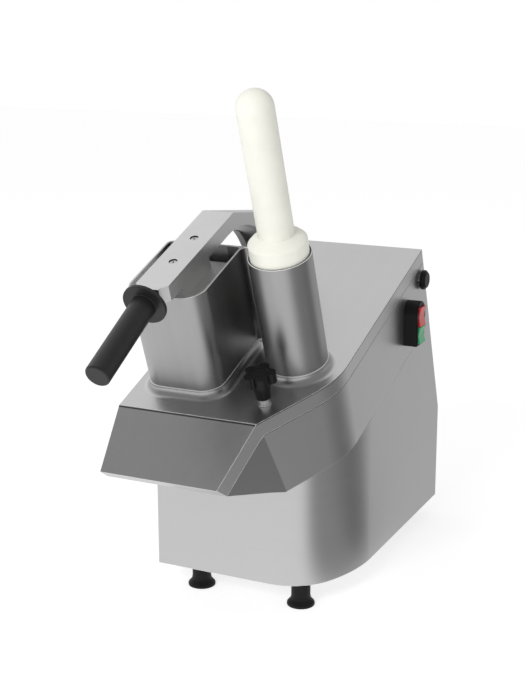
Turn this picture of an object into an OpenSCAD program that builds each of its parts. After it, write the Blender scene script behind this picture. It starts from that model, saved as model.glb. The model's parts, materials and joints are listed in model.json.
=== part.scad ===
/* [Body] */
// Width of the lower body, the housing and the lid
body_w = 225; // [222:1:232]
// Length of the lower body, front wall to rear wall
body_l = 363; // [350:1:380]
// Height of the lid's plane over the underside of the lower body, at the front wall
front_h = 248.8; // [244:0.2:256]
// Height of the upright part of the rear wall
rear_h = 125.5; // [110:0.5:135]
// Slope of the lid, down to the front, in degrees
tilt = 20.4; // [19:0.1:22]
// Thickness of the sheet of housing, body and lid
sheet = 1.5; // [1:0.1:1.8]
// Radius of the lower body's right front corner beside the front wall
corner_front_r = 68; // [60:1:80]
// Radius of the lower body's right front corner beside the right wall
corner_side_r = 189; // [170:1:200]
// Turn of the front part of that corner, in degrees
corner_turn = 64; // [58:1:68]
// Depth of the housing below the lid's plane, square to it
housing_d = 104.6; // [102:0.2:110]
// Gap at the seams of lid, housing and lower body
seam_gap = 0.3; // [0.2:0.05:0.35]
// Thickness of the base plate
base_t = 2; // [1.5:0.1:3]

/* [Lid and nose] */
// Depth of the lid's folded flange
flange = 17.8; // [16:0.1:18.4]
// Distance of the nose crease in front of the lid's zero line, along the slope
nose_v = 84.5; // [82:0.5:88]
// Right end of the nose crease, from the middle
nose_x = 56.6; // [54:0.2:58]
// Right end of the nose's lower edge, from the middle
nose_low_x = 31; // [26:0.5:34]
// Length of the nose face down its slope
nose_l = 78; // [72:0.5:82]
// Bend of the nose below the lid's plane, in degrees
nose_turn = 35.7; // [33:0.1:38]
// Radius of the lid's right front corner
lid_r = 112.5; // [100:0.5:120]
// Angle of the lid's right front edge to the side walls, in degrees
side_turn = 31; // [30:0.5:32]
// Mouth's rear corner in front of the zero line, along the slope
mouth_v = 67.8; // [66:0.2:72]

/* [Hopper and feed tube] */
// Outer width of the hopper
hopper_w = 93; // [86:0.2:95]
// Outer depth of the hopper, along the slope
hopper_d = 114.4; // [108:0.2:116]
// Middle of the hopper, left of the middle
hopper_x = 49.9; // [48.5:0.1:51]
// Middle of the hopper, behind the zero line
hopper_v = 2.8; // [2:0.1:5]
// Radius of the hopper's front corners
hopper_r = 24; // [18:0.5:28]
// Radius of the hopper's rear corners
hopper_rear_r = 7; // [6:0.5:12]
// Radius between the hopper's right wall and the rear wall carried on to the feed tube
web_r = 8; // [4:0.5:10]
// Height of the hopper's rim over the lid
hopper_h = 129.4; // [125:0.2:131]
// Outer diameter of the feed tube
tube_d = 69.4; // [66:0.2:71]
// Middle of the feed tube, right of the middle
tube_x = 58.8; // [58:0.1:61]
// Middle of the feed tube, behind the zero line
tube_v = 25.5; // [22:0.5:30]
// Height of the feed tube's rim over the lid
tube_h = 144.5; // [140:0.5:150]
// Wall of the hopper and the feed tube
feed_t = 2; // [1.5:0.1:2.4]
// Height of the drawn collars on the lid, and the radius of their foot
collar_h = 9.7; // [8:0.1:10.5]
// Depth of the skirts below the lid's plane
skirt_d = 13; // [11:0.1:13.4]

/* [Pusher] */
// Clearance of the pusher in the feed tube, on the radius
pusher_gap = 0.5; // [0.35:0.05:0.8]
// Height of the piston's top over the feed tube's rim
piston_up = 16; // [14:0.5:18]
// Height of the shoulder over the piston
shoulder_h = 8; // [6:0.5:9]
// Diameter of the pusher's handle
pusher_grip_d = 39.4; // [36:0.2:42]
// Length of the handle over the shoulder, with its round end
pusher_grip_l = 163; // [150:1:170]
// Depth of the hollow in the piston's underside
piston_hollow = 140; // [100:1:160]
// Width of the turned-in lip that carries the pusher at the foot of the feed tube
stop_lip = 1.6; // [1.2:0.1:2.5]
// Wall of the piston round that hollow
piston_wall = 5; // [4:0.5:7]

/* [Lever] */
// Width of the lever
lever_w = 38.4; // [36:0.2:40]
// Middle of the lever, left of the middle
lever_x = 42; // [41:0.5:43]
// Height of the lever's flat top over the hopper's rim
lever_rise = 26.1; // [25:0.1:28]
// Thickness of the lever's flat bar
lever_t = 17.9; // [16:0.1:18.5]
// Front end of the bar in front of the zero line
lever_front = 79.8; // [76:0.2:84]
// Lever pin behind the zero line
pin_v = 204.6; // [202:0.2:207]
// Lever pin below the underside of the lever's flat bar
pin_drop = 68.1; // [66:0.1:71]
// Diameter of the lever pin
pin_d = 10; // [8:0.5:12]
// Radius of the boss round the lever pin
boss_r = 20.5; // [18:0.5:22]
// Slope of the lever's rear leg, down to the rear, in degrees
leg_turn = 28; // [27:0.5:29]
// Radius of the arch under the lever
arch_r = 95.1; // [92:0.1:97]
// Middle of the arch behind the zero line
arch_v = 66.5; // [64:0.5:70]
// Width of the lever's tongue between the bracket's ears
tongue_w = 22; // [18:0.5:26]
// Play on each side of the tongue
tongue_gap = 0.4; // [0.3:0.05:0.6]

/* [Grip] */
// Diameter of the grip
grip_d = 27; // [24:0.5:30]
// Length of the grip in front of its guard
grip_l = 107; // [95:1:115]
// Diameter of the round guard
guard_d = 48.8; // [44:0.2:52]
// Thickness of the guard
guard_t = 4; // [3:0.5:5]
// Length of the neck behind the guard
neck_l = 11; // [8:0.5:13]
// Diameter of the neck
neck_d = 17; // [14:0.5:17.5]
// Turn of the grip below the lever, in degrees
grip_turn = 9.1; // [6:0.1:12]
// Bevel at the grip's free end
grip_bevel = 1.5; // [1:0.1:3]

/* [Press shoe] */
// Clearance of the press shoe in the hopper
shoe_gap = 3; // [2.5:0.1:4]
// Height of the shoe's top over the lid
shoe_top = 114; // [108:0.5:118]
// Height of the press plate's underside over the lid
shoe_low = 4; // [2:0.5:8]
// Wall of the press shoe
shoe_t = 3; // [2:0.1:4]
// Thickness of the press plate
plate_t = 4; // [3:0.1:6]
// Width of the rib between shoe and lever
rib_w = 18; // [16:0.5:24]
// Distance between the two lever screws
screw_pitch = 50.6; // [46:0.2:56]

/* [Cutting chamber] */
// Diameter of the cutting disc
disc_d = 205; // [202:1:205]
// Middle of the disc, left of the middle
disc_x = 5.1; // [4.8:0.1:5.2]
// Middle of the disc, behind the zero line
disc_v = 16.4; // [16:0.2:22]
// Depth of the disc's top below the lid's plane
disc_top = 18.4; // [18.2:0.1:18.8]
// Thickness of the cutting disc
disc_t = 5; // [4:0.2:6]
// Clearance of the disc in the bowl
bowl_gap = 1.1; // [1:0.05:1.2]
// Depth of the bowl's floor below the lid's plane
bowl_d = 46; // [44:0.5:48]
// Front edge of the bowl's floor in front of the zero line
floor_v = 70; // [62:1:74]
// Number of blades on the disc
blade_count = 2; // [1:1:3]
// Diameter of the spindle
spindle_d = 20; // [18:0.5:22]

/* [Drive] */
// Depth of the drive plate's top below the lid's plane
plate_d = 140; // [136:1:142]
// Thickness of the drive plate
drive_t = 4; // [3:0.5:5]
// Motor shaft behind the zero line
motor_v = 210; // [205:1:216]
// Diameter of the motor
motor_d = 124; // [110:1:128]
// Length of the motor's case
motor_l = 88; // [80:1:90]
// Length of the fan cowl over the case
cowl_l = 26; // [22:0.5:27]
// Diameter of the motor shaft
shaft_d = 14; // [11:0.5:16]
// Diameter of the driven pulley's belt seat
big_pulley_d = 104; // [90:1:106]
// Diameter of the motor pulley's belt seat
small_pulley_d = 40; // [34:1:46]
// Width of the belt
belt_w = 12; // [9:0.5:14]
// Thickness of the belt
belt_t = 3.5; // [3:0.1:4.5]

/* [Switch and reset] */
// Front edge of the switch box behind the front wall
switch_y = 217; // [205:1:225]
// Height of the switch box's lower edge over the body's underside
switch_z = 242; // [232:0.5:245]
// Width of the switch box at its top
switch_w = 31; // [28:0.5:34]
// Height of the switch box
switch_h = 55; // [50:0.5:58]
// Stand-out of the switch box from the wall
switch_out = 17.4; // [15:0.2:19]
// Travel of the stop and start keys
key_travel = 2.4; // [1.5:0.1:2.8]
// Diameter of the reset cap
reset_d = 24.4; // [20:0.2:26]
// Stand-out of the reset cap
reset_out = 9; // [7:0.2:11]
// Reset cap below the lid's plane
reset_drop = 35; // [34:0.5:40]
// Reset cap in front of the rear edge
reset_back = 15; // [14:0.5:20]

/* [Lock, hinges and feet] */
// Star knob right of the middle
knob_x = 50.1; // [49:0.1:51]
// Star knob in front of the zero line
knob_v = 48.1; // [47.5:0.1:49]
// Diameter over the knob's lobes
knob_d = 36; // [32:0.5:38]
// Thickness of the knob's head
knob_t = 12; // [9:0.5:14]
// Height of the head's underside over the lid
knob_h = 29; // [26:0.5:32]
// Diameter of the lock stud
stud_d = 8; // [6:0.5:9]
// Length of each lid hinge
hinge_l = 54; // [45:1:64]
// Front hinge behind the zero line
hinge_front = 40; // [30:1:60]
// Rear hinge behind the zero line
hinge_rear = 236; // [220:1:244]
// Distance of the hinge axis from the wall
hinge_out = 5; // [4.7:0.1:6]
// Radius of the hinge knuckles
knuckle_r = 4; // [3.5:0.1:4.2]
// Diameter of the hinge pins
hinge_pin_d = 4; // [3:0.1:4.5]
// Height of the feet
foot_h = 26.5; // [22:0.5:30]
// Diameter of the feet on the ground
foot_d = 32.6; // [28:0.2:36]
// Diameter of the feet's neck
foot_neck_d = 22.4; // [20:0.2:26]
// Feet from the middle, to each side
foot_x = 65; // [58:1:70]
// Feet from the front wall and from the rear wall
foot_y = 20; // [18:1:30]

/* [Hidden] */
$fn = 96;

steel = "silver";
bright = "gainsboro";
black = [0.1, 0.1, 0.1];
ivory = "ivory";
cast = "lightgray";
zinc = "slategray";

over = 6;
fit = 0.05;
lie = 0.25;
clear = 1;
ease = 0.05;
back_turn = 5;
reach = 600;

half_w = body_w / 2;
plane_z = foot_h + front_h;
rear_v = body_l * cos(tilt) + (rear_h - front_h) * sin(tilt);
seat_w = flange + seam_gap;

corner_x = half_w - corner_side_r + (corner_side_r - corner_front_r) * sin(corner_turn);
corner_y = corner_front_r + (corner_side_r - corner_front_r) * cos(corner_turn);

arc_start_x = half_w - lid_r + lid_r * cos(side_turn);
arc_start_v = (arc_start_x - nose_x) / tan(side_turn) - nose_v;
arc_v = arc_start_v + lid_r * sin(side_turn);
nose_reach = nose_l * cos(nose_turn);
nose_taper = atan((nose_x - nose_low_x) / nose_reach);

tube_r = tube_d / 2;
tube_in = tube_r - feed_t;
piston_r = tube_in - pusher_gap;
piston_top = tube_h + piston_up;
piston_l = piston_top + skirt_d - sheet - lie;
pusher_grip_r = pusher_grip_d / 2;

lever_top = hopper_h + lever_rise;
lever_low = lever_top - lever_t;
pin_h = lever_low - pin_drop;
arch_h = lever_low - arch_r;
lever_mid = lever_top - lever_t / 2;
arch_turn = 38;
arch_end = [arch_v + arch_r * cos(arch_turn), arch_h + arch_r * sin(arch_turn)];
pin_at = [pin_v, pin_h];
leg_normal = [sin(leg_turn), cos(leg_turn)];
leg_touch = pin_at + boss_r * leg_normal;
knee_v = leg_touch[0] - (lever_top - leg_touch[1]) / tan(leg_turn);
under_way = pin_at - arch_end;
under_l = norm(under_way);
under_turn = atan2(under_way[1], under_way[0]) - asin(boss_r / under_l);
under_touch = arch_end + sqrt(under_l * under_l - boss_r * boss_r) * [cos(under_turn), sin(under_turn)];
ear_w = (lever_w - tongue_w) / 2 - tongue_gap;
shoulder_play = 7.5;
shoulder_r = boss_r + shoulder_play;

shoe_out_r = pin_v + hopper_d / 2 - hopper_v - feed_t - shoe_gap;
shoe_rear = hopper_v + hopper_d / 2 - feed_t - shoe_gap;
shoe_in_r = norm([pin_v - shoe_rear, pin_h - shoe_low]);

disc_r = disc_d / 2;
bowl_r = disc_r + bowl_gap;
bowl_t = 1.2;
deck_drop = 0.5;
deck_top = seat_w + deck_drop;
pulley_gap = 6;
pulley_flange = 3;
pulley_top = plate_d + drive_t + pulley_gap;
belt_top = pulley_top + pulley_flange;
belt_span = motor_v - disc_v;

grip_bottom = neck_l + guard_t + grip_l;
grip_r = grip_d / 2;
grip_slope = tilt + grip_turn;
gland_out = 15;
key_up = 3;
seat_y = -lever_front * cos(tilt) - lever_mid * sin(tilt);
front_reach = seat_y - grip_bottom * cos(grip_slope) - (grip_r - grip_bevel) * sin(grip_slope);
mid_y = (body_l + gland_out + front_reach) / 2;
mid_x = (switch_out + key_up - hinge_out - knuckle_r) / 2;

// Puts the assembly's middle over the origin
module place() translate([-mid_x, -mid_y, 0]) children();

// Frame of the lid: X to the right, Y up the slope, Z square to the lid
module tilted() translate([0, 0, plane_z]) rotate([tilt, 0, 0]) children();

module slope() place() tilted() children();

// Frame of the straight right front edge, Y along the edge and X out of it
module edge_frame() translate([nose_x, -nose_v, 0]) rotate([0, 0, -side_turn]) children();

// Extrudes an outline drawn in the side view along X
module along_x(from, wide) translate([from, 0, 0]) rotate([90, 0, 90]) linear_extrude(wide) children();

module spindle_axis() translate([-disc_x, disc_v, 0]) children();
module motor_axis() translate([-disc_x, motor_v, 0]) children();

module ring(outer, inner, tall) difference() {
    cylinder(r = outer, h = tall);
    translate([0, 0, -over]) cylinder(r = inner, h = tall + 2 * over);
}

// What lies outside a round corner, between two directions less than half a turn apart
module corner_cut(at, radius, from, to) translate(at) difference() {
    polygon([[0, 0], 3 * radius * [cos(from), sin(from)], 3 * radius * [cos(to), sin(to)]]);
    circle(radius);
}

// Rectangle with one corner radius at its front and another at its rear
module two_ends(wide, deep, front_r, rear_r) difference() {
    square([wide, deep], center = true);
    for (x = [-1, 1], y = [-1, 1]) {
        radius = y < 0 ? front_r : rear_r;
        translate([x * wide / 2, y * deep / 2]) difference() {
            square(2 * radius, center = true);
            translate([-x * radius, -y * radius]) circle(radius);
        }
    }
}

module slot(long, wide) union() {
    square([long - wide, wide], center = true);
    for (x = [-1, 1]) translate([x * (long - wide) / 2, 0]) circle(wide / 2);
}

// Plan of the lower body, drawn in by an inset
module body_plan(inset) difference() {
    translate([inset - half_w, inset]) square([body_w - 2 * inset, body_l - 2 * inset]);
    corner_cut([corner_x, corner_front_r], corner_front_r - inset + 2 * ease, -90, corner_turn - 90);
    corner_cut([half_w - corner_side_r, corner_y], corner_side_r - inset + ease,
        corner_turn - 90 - back_turn, 0);
}

// Space of the lower body under the housing's seam, drawn in by an inset
module body_space(inset, more) intersection() {
    translate([0, 0, foot_h - more]) linear_extrude(plane_z + body_l) body_plan(inset);
    tilted() translate([-reach / 2, rear_v - inset - reach, more - reach - housing_d - seam_gap])
        cube([reach, reach, reach]);
}

// Plan of the flat top, drawn in by an inset
module top_plan(inset) difference() {
    edge_x = nose_x - inset / cos(side_turn);
    polygon([[inset - half_w, -nose_v], [edge_x, -nose_v],
        [half_w - inset, (half_w - inset - edge_x) / tan(side_turn) - nose_v],
        [half_w - inset, rear_v - inset], [inset - half_w, rear_v - inset]]);
    corner_cut([half_w - lid_r, arc_v], lid_r - inset + ease, -side_turn, 0);
}

// Plan of the top with its nose, drawn in by an inset, its tip further forward by some length
module long_plan(inset, more) difference() {
    edge_x = nose_x - inset / cos(side_turn);
    tip_x = nose_low_x - inset / cos(nose_taper) - more * tan(nose_taper);
    tip_v = -nose_v - nose_reach - more;
    polygon([[inset - half_w, tip_v], [tip_x, tip_v], [edge_x, -nose_v],
        [half_w - inset, (half_w - inset - edge_x) / tan(side_turn) - nose_v],
        [half_w - inset, rear_v - inset], [inset - half_w, rear_v - inset]]);
    corner_cut([half_w - lid_r, arc_v], lid_r - inset + ease, -side_turn, 0);
}

// Point at a depth under the nose face, some way down it, in the side view
function under_nose(along, deep) = [-nose_v - along * cos(nose_turn) + deep * sin(nose_turn),
    -along * sin(nose_turn) - deep * cos(nose_turn)];

// Depth under the flat top where it meets the nose, in the side view
function crease(deep) = [deep * tan(nose_turn / 2) - nose_v, -deep];

module base_shell() {
    color(steel) place() difference() {
        body_space(0, 0);
        body_space(sheet, over);
        translate([-gland_x, body_l + over, foot_h + gland_z]) rotate([90, 0, 0])
            cylinder(r = gland_hole_r, h = 2 * over);
        translate([half_w - over, switch_mid_y, switch_mid_z]) rotate([0, 90, 0])
            cylinder(r = switch_hole_r, h = 2 * over);
    }
}

vent_rows = 7;
vent_pitch = 11;
vent_l = 46;
vent_w = 5;
screw_r = 3;

module base_plate() color(steel) place() difference() {
    translate([0, 0, foot_h]) linear_extrude(base_t) body_plan(sheet + lie);
    at_feet() cylinder(r = screw_r + lie, h = foot_h + 2 * over);
    for (x = [-1, 1], n = [0 : vent_rows - 1])
        translate([x * (foot_x - vent_l / 2), body_l / 2 + n * vent_pitch, foot_h - over])
            linear_extrude(base_t + 2 * over) slot(vent_l, vent_w);
}

module at_feet() for (x = [-1, 1], y = [foot_y, body_l - foot_y])
    translate([x * foot_x, y, 0]) children();

foot_rim = 3;
foot_flare = 9;
foot_bore_r = 6.5;
foot_bore_h = 7;
screw_head_r = 5.5;
screw_head_h = 4;
nut_r = 5.8;
nut_h = 4;

module feet() color(black) place() at_feet() difference() {
    rotate_extrude() union() {
        square([foot_d / 2, foot_rim]);
        square([foot_neck_d / 2, foot_h]);
        polygon([[0, foot_rim], [foot_d / 2, foot_rim], [foot_neck_d / 2 + clear, foot_rim + foot_flare / 2],
            [foot_neck_d / 2, foot_rim + foot_flare], [0, foot_rim + foot_flare]]);
    }
    translate([0, 0, -over]) cylinder(r = screw_r + lie, h = foot_h + 2 * over);
    translate([0, 0, -over]) cylinder(r = foot_bore_r, h = over + foot_bore_h);
}

module foot_screws() color(bright) place() at_feet() union() {
    translate([0, 0, foot_bore_h - screw_head_h]) cylinder(r = screw_head_r, h = screw_head_h);
    translate([0, 0, foot_bore_h - clear])
        cylinder(r = screw_r, h = foot_h + base_t + nut_h - foot_bore_h + 2 * clear);
    translate([0, 0, foot_h + base_t]) cylinder(r = nut_r, h = nut_h, $fn = 6);
}

// Side view of the housing: rear edge, lower seam, mouth, nose and top seam
module housing_side() polygon([[rear_v, -seat_w], [rear_v, -housing_d], [-mouth_v, -housing_d],
    under_nose(nose_l, seat_w), crease(seat_w)]);

module upper_housing() color(steel) slope() difference() {
    intersection() {
        translate([0, 0, -housing_d]) linear_extrude(housing_d) long_plan(0, 0);
        along_x(-reach / 2, reach) housing_side();
    }
    translate([0, 0, -housing_d - over]) linear_extrude(housing_d + over) long_plan(sheet, over);
    translate([half_w - over, rear_v - reset_back, -reset_drop]) rotate([0, 90, 0])
        cylinder(r = reset_bush_r, h = 2 * over);
    rotate([-tilt, 0, 0]) translate([half_w - over, switch_mid_y, switch_mid_z - plane_z])
        rotate([0, 90, 0]) cylinder(r = switch_hole_r, h = 2 * over);
}

hub_r = 16;
hub_h = 5;
hub_hole_r = spindle_d / 2 + 3;

// Deck over the motor room, bowl round the disc, floor and the raised hub
module chamber_bowl() color(steel) slope() intersection() {
    difference() {
        union() {
            translate([0, 0, -deck_top - sheet]) linear_extrude(sheet) top_plan(sheet + lie);
            spindle_axis() translate([0, 0, -bowl_d - bowl_t])
                cylinder(r = bowl_r + bowl_t, h = bowl_d + bowl_t - deck_top);
        }
        spindle_axis() translate([0, 0, -bowl_d]) difference() {
            cylinder(r = bowl_r, h = bowl_d + over);
            cylinder(r = hub_r, h = hub_h);
        }
        spindle_axis() translate([0, 0, -bowl_d - over]) cylinder(r = hub_hole_r, h = 3 * over);
        translate([-reach / 2, -floor_v - reach, -bowl_d - over])
            cube([reach, reach, bowl_d + 2 * over]);
        translate([-reach / 2, -bowl_open_v - reach, -bowl_d])
            cube([reach, reach, bowl_d + 2 * over]);
    }
    translate([0, 0, -housing_d]) linear_extrude(housing_d) top_plan(sheet + lie);
}

bowl_open_v = 30;

// Panel from the bowl's floor down to the front wall
module chute_plate() color(steel) slope() intersection() {
    low = -housing_d * tan(tilt);
    high_w = -bowl_d - bowl_t - lie;
    along_x(-half_w, body_w) polygon([[-floor_v, high_w], [sheet - floor_v, high_w],
        [low + sheet, -housing_d], [low, -housing_d]]);
    translate([0, 0, -housing_d]) linear_extrude(housing_d) top_plan(sheet + lie);
}

bolt_r = 3;
bolt_head_r = 5;
bolt_head_h = 4;
bolt_l = 12;
cartridge_r = 28;
cartridge_flange_r = 38;
cartridge_flange_t = 8;
cartridge_bolt_r = 32.5;
motor_bolt_r = 50;
bearing_r = 21;
bearing_t = 12;
bearing_race = 3;
motor_hole_r = 26;

// Four places on a circle, between the axes
module four_round(radius) for (n = [0 : 3]) rotate([0, 0, 45 + 90 * n]) translate([radius, 0, 0]) children();

module at_bolts() {
    spindle_axis() four_round(cartridge_bolt_r) children();
    motor_axis() four_round(motor_bolt_r) children();
}

module drive_plate() color(zinc) slope() difference() {
    intersection() {
        translate([-half_w, -body_l, -plate_d - drive_t]) cube([body_w, 2 * body_l, drive_t]);
        rotate([-tilt, 0, 0]) translate([0, 0, -plane_z]) body_space(sheet + lie, 0);
    }
    spindle_axis() translate([0, 0, -plate_d - over]) cylinder(r = hub_hole_r, h = 2 * over);
    motor_axis() translate([0, 0, -plate_d - over]) cylinder(r = motor_hole_r, h = 2 * over);
    at_bolts() translate([0, 0, -plate_d - over]) cylinder(r = bolt_r + lie, h = 2 * over);
}

cartridge_h = plate_d - bowl_d - bowl_t - lie;

module bearing_housing() color(zinc) slope() spindle_axis() translate([0, 0, -plate_d]) difference() {
    union() {
        cylinder(r = cartridge_r, h = cartridge_h);
        cylinder(r = cartridge_flange_r, h = cartridge_flange_t);
    }
    translate([0, 0, -over]) cylinder(r = bearing_r - bearing_race, h = cartridge_h + 2 * over);
    translate([0, 0, bearing_race]) cylinder(r = bearing_r + fit, h = bearing_t + fit);
    translate([0, 0, cartridge_h - bearing_t - fit]) cylinder(r = bearing_r + fit, h = bearing_t + over);
    four_round(cartridge_bolt_r) translate([0, 0, -over])
        cylinder(r = bolt_r + lie, h = cartridge_flange_t + 2 * over);
}

module bearings() color(bright) slope() spindle_axis() translate([0, 0, -plate_d]) {
    translate([0, 0, bearing_race + fit]) ring(bearing_r, spindle_d / 2 + fit, bearing_t - fit);
    translate([0, 0, cartridge_h - bearing_t]) ring(bearing_r, spindle_d / 2 + fit, bearing_t);
}

module shaft_seal() color(black) slope() spindle_axis() translate([0, 0, -bowl_d - bowl_t])
    ring(hub_hole_r - lie, spindle_d / 2 + fit, hub_h + bowl_t - clear);

disc_hub_r = 22;
hub_pin_r = 3;
pulley_hub = 4;
pulley_h = belt_w + 2 * pulley_flange;
spindle_head = 3;

module spindle() color(bright) slope() spindle_axis() difference() {
    spindle_low = pulley_top + pulley_h + pulley_hub;
    union() {
        translate([0, 0, -spindle_low])
            cylinder(r = spindle_d / 2, h = spindle_low - disc_top - spindle_head);
        translate([0, 0, -ejector_low]) rotate([90, 0, 0]) translate([0, hub_pin_up, -disc_hub_r + clear])
            cylinder(r = hub_pin_r, h = 2 * disc_hub_r - 2 * clear);
    }
    translate([0, 0, -disc_top - spindle_head - nut_deep])
        cylinder(r = nut_stem_r + fit, h = nut_deep + over);
}

nut_deep = 14;
nut_stem_r = 4;
ejector_low = bowl_d - hub_h - clear;
hub_pin_up = 4;

blade_l = 82;
blade_in = 17;
blade_wide = 20;
blade_t = 1.6;
blade_rise = 1.5;
blade_slot = 11;
blade_turn = 20;
disc_bore_r = spindle_d / 2 + fit;

module at_blades() for (n = [0 : blade_count - 1]) rotate([0, 0, 360 * n / blade_count + blade_turn])
    translate([blade_in, 0, 0]) children();

// Side view of a blade, with its edge over the slot
module blade_side() polygon([[blade_slot / 2, 0], [blade_wide, 0], [blade_wide, -blade_t],
    [0, -blade_t], [-blade_slot / 4, blade_rise]]);

module cutting_disc() color(cast) slope() spindle_axis() translate([0, 0, -disc_top]) difference() {
    translate([0, 0, -disc_t]) cylinder(r = disc_r, h = disc_t);
    translate([0, 0, -disc_t - over]) cylinder(r = disc_bore_r, h = disc_t + over - spindle_head + lie);
    translate([0, 0, -over]) cylinder(r = nut_stem_r + lie, h = 2 * over);
    at_blades() {
        translate([0, -blade_slot, -disc_t - over]) cube([blade_l, blade_slot, disc_t + 2 * over]);
        translate([0, -clear, -blade_t]) cube([blade_l, blade_wide + clear + lie, over]);
    }
}

module disc_blades() color(bright) slope() spindle_axis() translate([0, 0, -disc_top])
    at_blades() translate([lie, 0, 0]) rotate([90, 0, 90]) linear_extrude(blade_l - 2 * lie) blade_side();

ejector_r = 98;
ejector_t = 4;
paddle_h = 5;
paddle_t = 5;
paddle_count = 3;
ejector_top = disc_top + disc_t;

module ejector_disc() color("white") slope() spindle_axis() difference() {
    union() {
        translate([0, 0, -ejector_low]) cylinder(r = disc_hub_r, h = ejector_low - ejector_top - lie);
        translate([0, 0, -ejector_top - paddle_h - ejector_t]) cylinder(r = ejector_r, h = ejector_t);
        for (n = [0 : paddle_count - 1]) rotate([0, 0, 360 * n / paddle_count])
            translate([disc_hub_r - clear, -paddle_t / 2, -ejector_top - paddle_h - clear])
                cube([ejector_r - disc_hub_r - clear, paddle_t, paddle_h]);
    }
    translate([0, 0, -ejector_low - over]) cylinder(r = disc_bore_r, h = ejector_low + 2 * over);
    translate([0, 0, -ejector_low]) rotate([90, 0, 0]) translate([0, hub_pin_up, -disc_hub_r - over])
        cylinder(r = hub_pin_r + lie, h = 2 * disc_hub_r + 2 * over);
    translate([-hub_pin_r - lie, -disc_hub_r - over, -ejector_low - over])
        cube([2 * hub_pin_r + 2 * lie, 2 * disc_hub_r + 2 * over, over + hub_pin_up]);
}

nut_cap_r = 14;
nut_cap_h = 1.4;

module disc_nut() color(bright) slope() spindle_axis() translate([0, 0, -disc_top]) difference() {
    union() {
        cylinder(r1 = nut_cap_r, r2 = nut_cap_r - nut_cap_h, h = nut_cap_h);
        translate([0, 0, clear - spindle_head - nut_deep])
            cylinder(r = nut_stem_r, h = nut_deep + spindle_head);
    }
    translate([-nut_cap_r, -clear, clear / 2]) cube([2 * nut_cap_r, 2 * clear, over]);
}

module pulley(seat_r, bore_r) difference() {
    union() {
        cylinder(r = seat_r, h = pulley_h);
        for (z = [0, pulley_h - pulley_flange + clear / 2])
            translate([0, 0, z]) cylinder(r = seat_r + belt_t + clear, h = pulley_flange - clear / 2);
    }
    translate([0, 0, -over]) cylinder(r = bore_r, h = pulley_h + 2 * over);
}

module driven_pulley() color(cast) slope() spindle_axis() translate([0, 0, -pulley_top - pulley_h])
    difference() {
        pulley(big_pulley_d / 2, spindle_d / 2 + fit);
        for (n = [0 : 5]) rotate([0, 0, 60 * n]) translate([big_pulley_d / 4 + spindle_d / 4, 0, -over])
            cylinder(r = big_pulley_d / 13, h = pulley_h + 2 * over);
    }

module motor_pulley() color(cast) slope() motor_axis() translate([0, 0, -pulley_top - pulley_h])
    pulley(small_pulley_d / 2, shaft_d / 2 + fit);

// Loop round both belt seats, from the spindle towards the motor
module belt_loop(more) {
    big = big_pulley_d / 2 + more;
    small = small_pulley_d / 2 + more;
    lean = asin((big - small) / belt_span);
    away = [cos(lean), sin(lean)];
    union() {
        circle(big);
        translate([0, belt_span]) circle(small);
        polygon([[-big * away[0], big * away[1]], [big * away[0], big * away[1]],
            [small * away[0], belt_span + small * away[1]], [-small * away[0], belt_span + small * away[1]]]);
    }
}

belt_ease = 0.3;

module drive_belt() color(black) slope() spindle_axis() translate([0, 0, -belt_top - belt_w])
    linear_extrude(belt_w - clear) difference() {
        belt_loop(belt_t);
        belt_loop(belt_ease);
    }

case_bore_r = shaft_d / 2 + fit;
shaft_short = 5;
shaft_up = cowl_l - shaft_short;

module motor_rotor() color(bright) slope() motor_axis() translate([0, 0, -pulley_top - pulley_h - pulley_hub])
    cylinder(r = shaft_d / 2, h = pulley_top + pulley_h + pulley_hub - plate_d + motor_l + shaft_up);

fan_count = 8;
fan_up = 2;
fan_hub_r = 14;
fan_blade_t = 2;
fan_h = 14;

module motor_fan() color(black) slope() motor_axis() translate([0, 0, motor_l - plate_d + fan_up])
    difference() {
        union() {
            cylinder(r = fan_hub_r, h = fan_h);
            cylinder(r = motor_d / 2 - 2 * over, h = fan_blade_t);
            for (n = [0 : fan_count - 1]) rotate([0, 0, 360 * n / fan_count])
                translate([fan_hub_r - clear, -fan_blade_t / 2, 0])
                    cube([motor_d / 2 - 2 * over - fan_hub_r, fan_blade_t, fan_h]);
        }
        translate([0, 0, -over]) cylinder(r = shaft_d / 2 + fit, h = fan_h + 2 * over);
    }

fin_count = 18;
fin_h = 4;
fin_t = 3;
motor_foot = 8;

module motor_case() color(zinc) slope() motor_axis() translate([0, 0, -plate_d]) difference() {
    union() {
        cylinder(r = motor_d / 2 - fin_h, h = motor_l);
        cylinder(r = motor_d / 2, h = motor_foot);
        for (n = [0 : fin_count - 1]) rotate([0, 0, 360 * n / fin_count])
            translate([motor_d / 2 - fin_h - clear, -fin_t / 2, 0])
                cube([fin_h + clear / 2, fin_t, motor_l - over]);
    }
    translate([0, 0, -over]) cylinder(r = case_bore_r, h = motor_l + 2 * over);
    four_round(motor_bolt_r) translate([0, 0, -over]) cylinder(r = bolt_r + lie, h = over + bolt_l);
}

cowl_t = 1.2;

module fan_cowl() color(black) slope() motor_axis() translate([0, 0, motor_l - plate_d]) difference() {
    cylinder(r = motor_d / 2, h = cowl_l);
    translate([0, 0, cowl_t]) cylinder(r = motor_d / 2 - cowl_t, h = cowl_l - 2 * cowl_t);
    translate([0, 0, -over]) cylinder(r = motor_d / 2 - 2 * fin_h, h = 2 * over);
    for (n = [0 : 11]) rotate([0, 0, 30 * n]) translate([motor_d / 3, 0, 0])
        linear_extrude(cowl_l + over) slot(motor_d / 5, 4 * cowl_t);
}

module drive_bolts() color(bright) slope() at_bolts() translate([0, 0, -plate_d - drive_t]) union() {
    translate([0, 0, -bolt_head_h]) cylinder(r = bolt_head_r, h = bolt_head_h, $fn = 6);
    cylinder(r = bolt_r, h = drive_t + cartridge_flange_t - clear);
}

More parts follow.
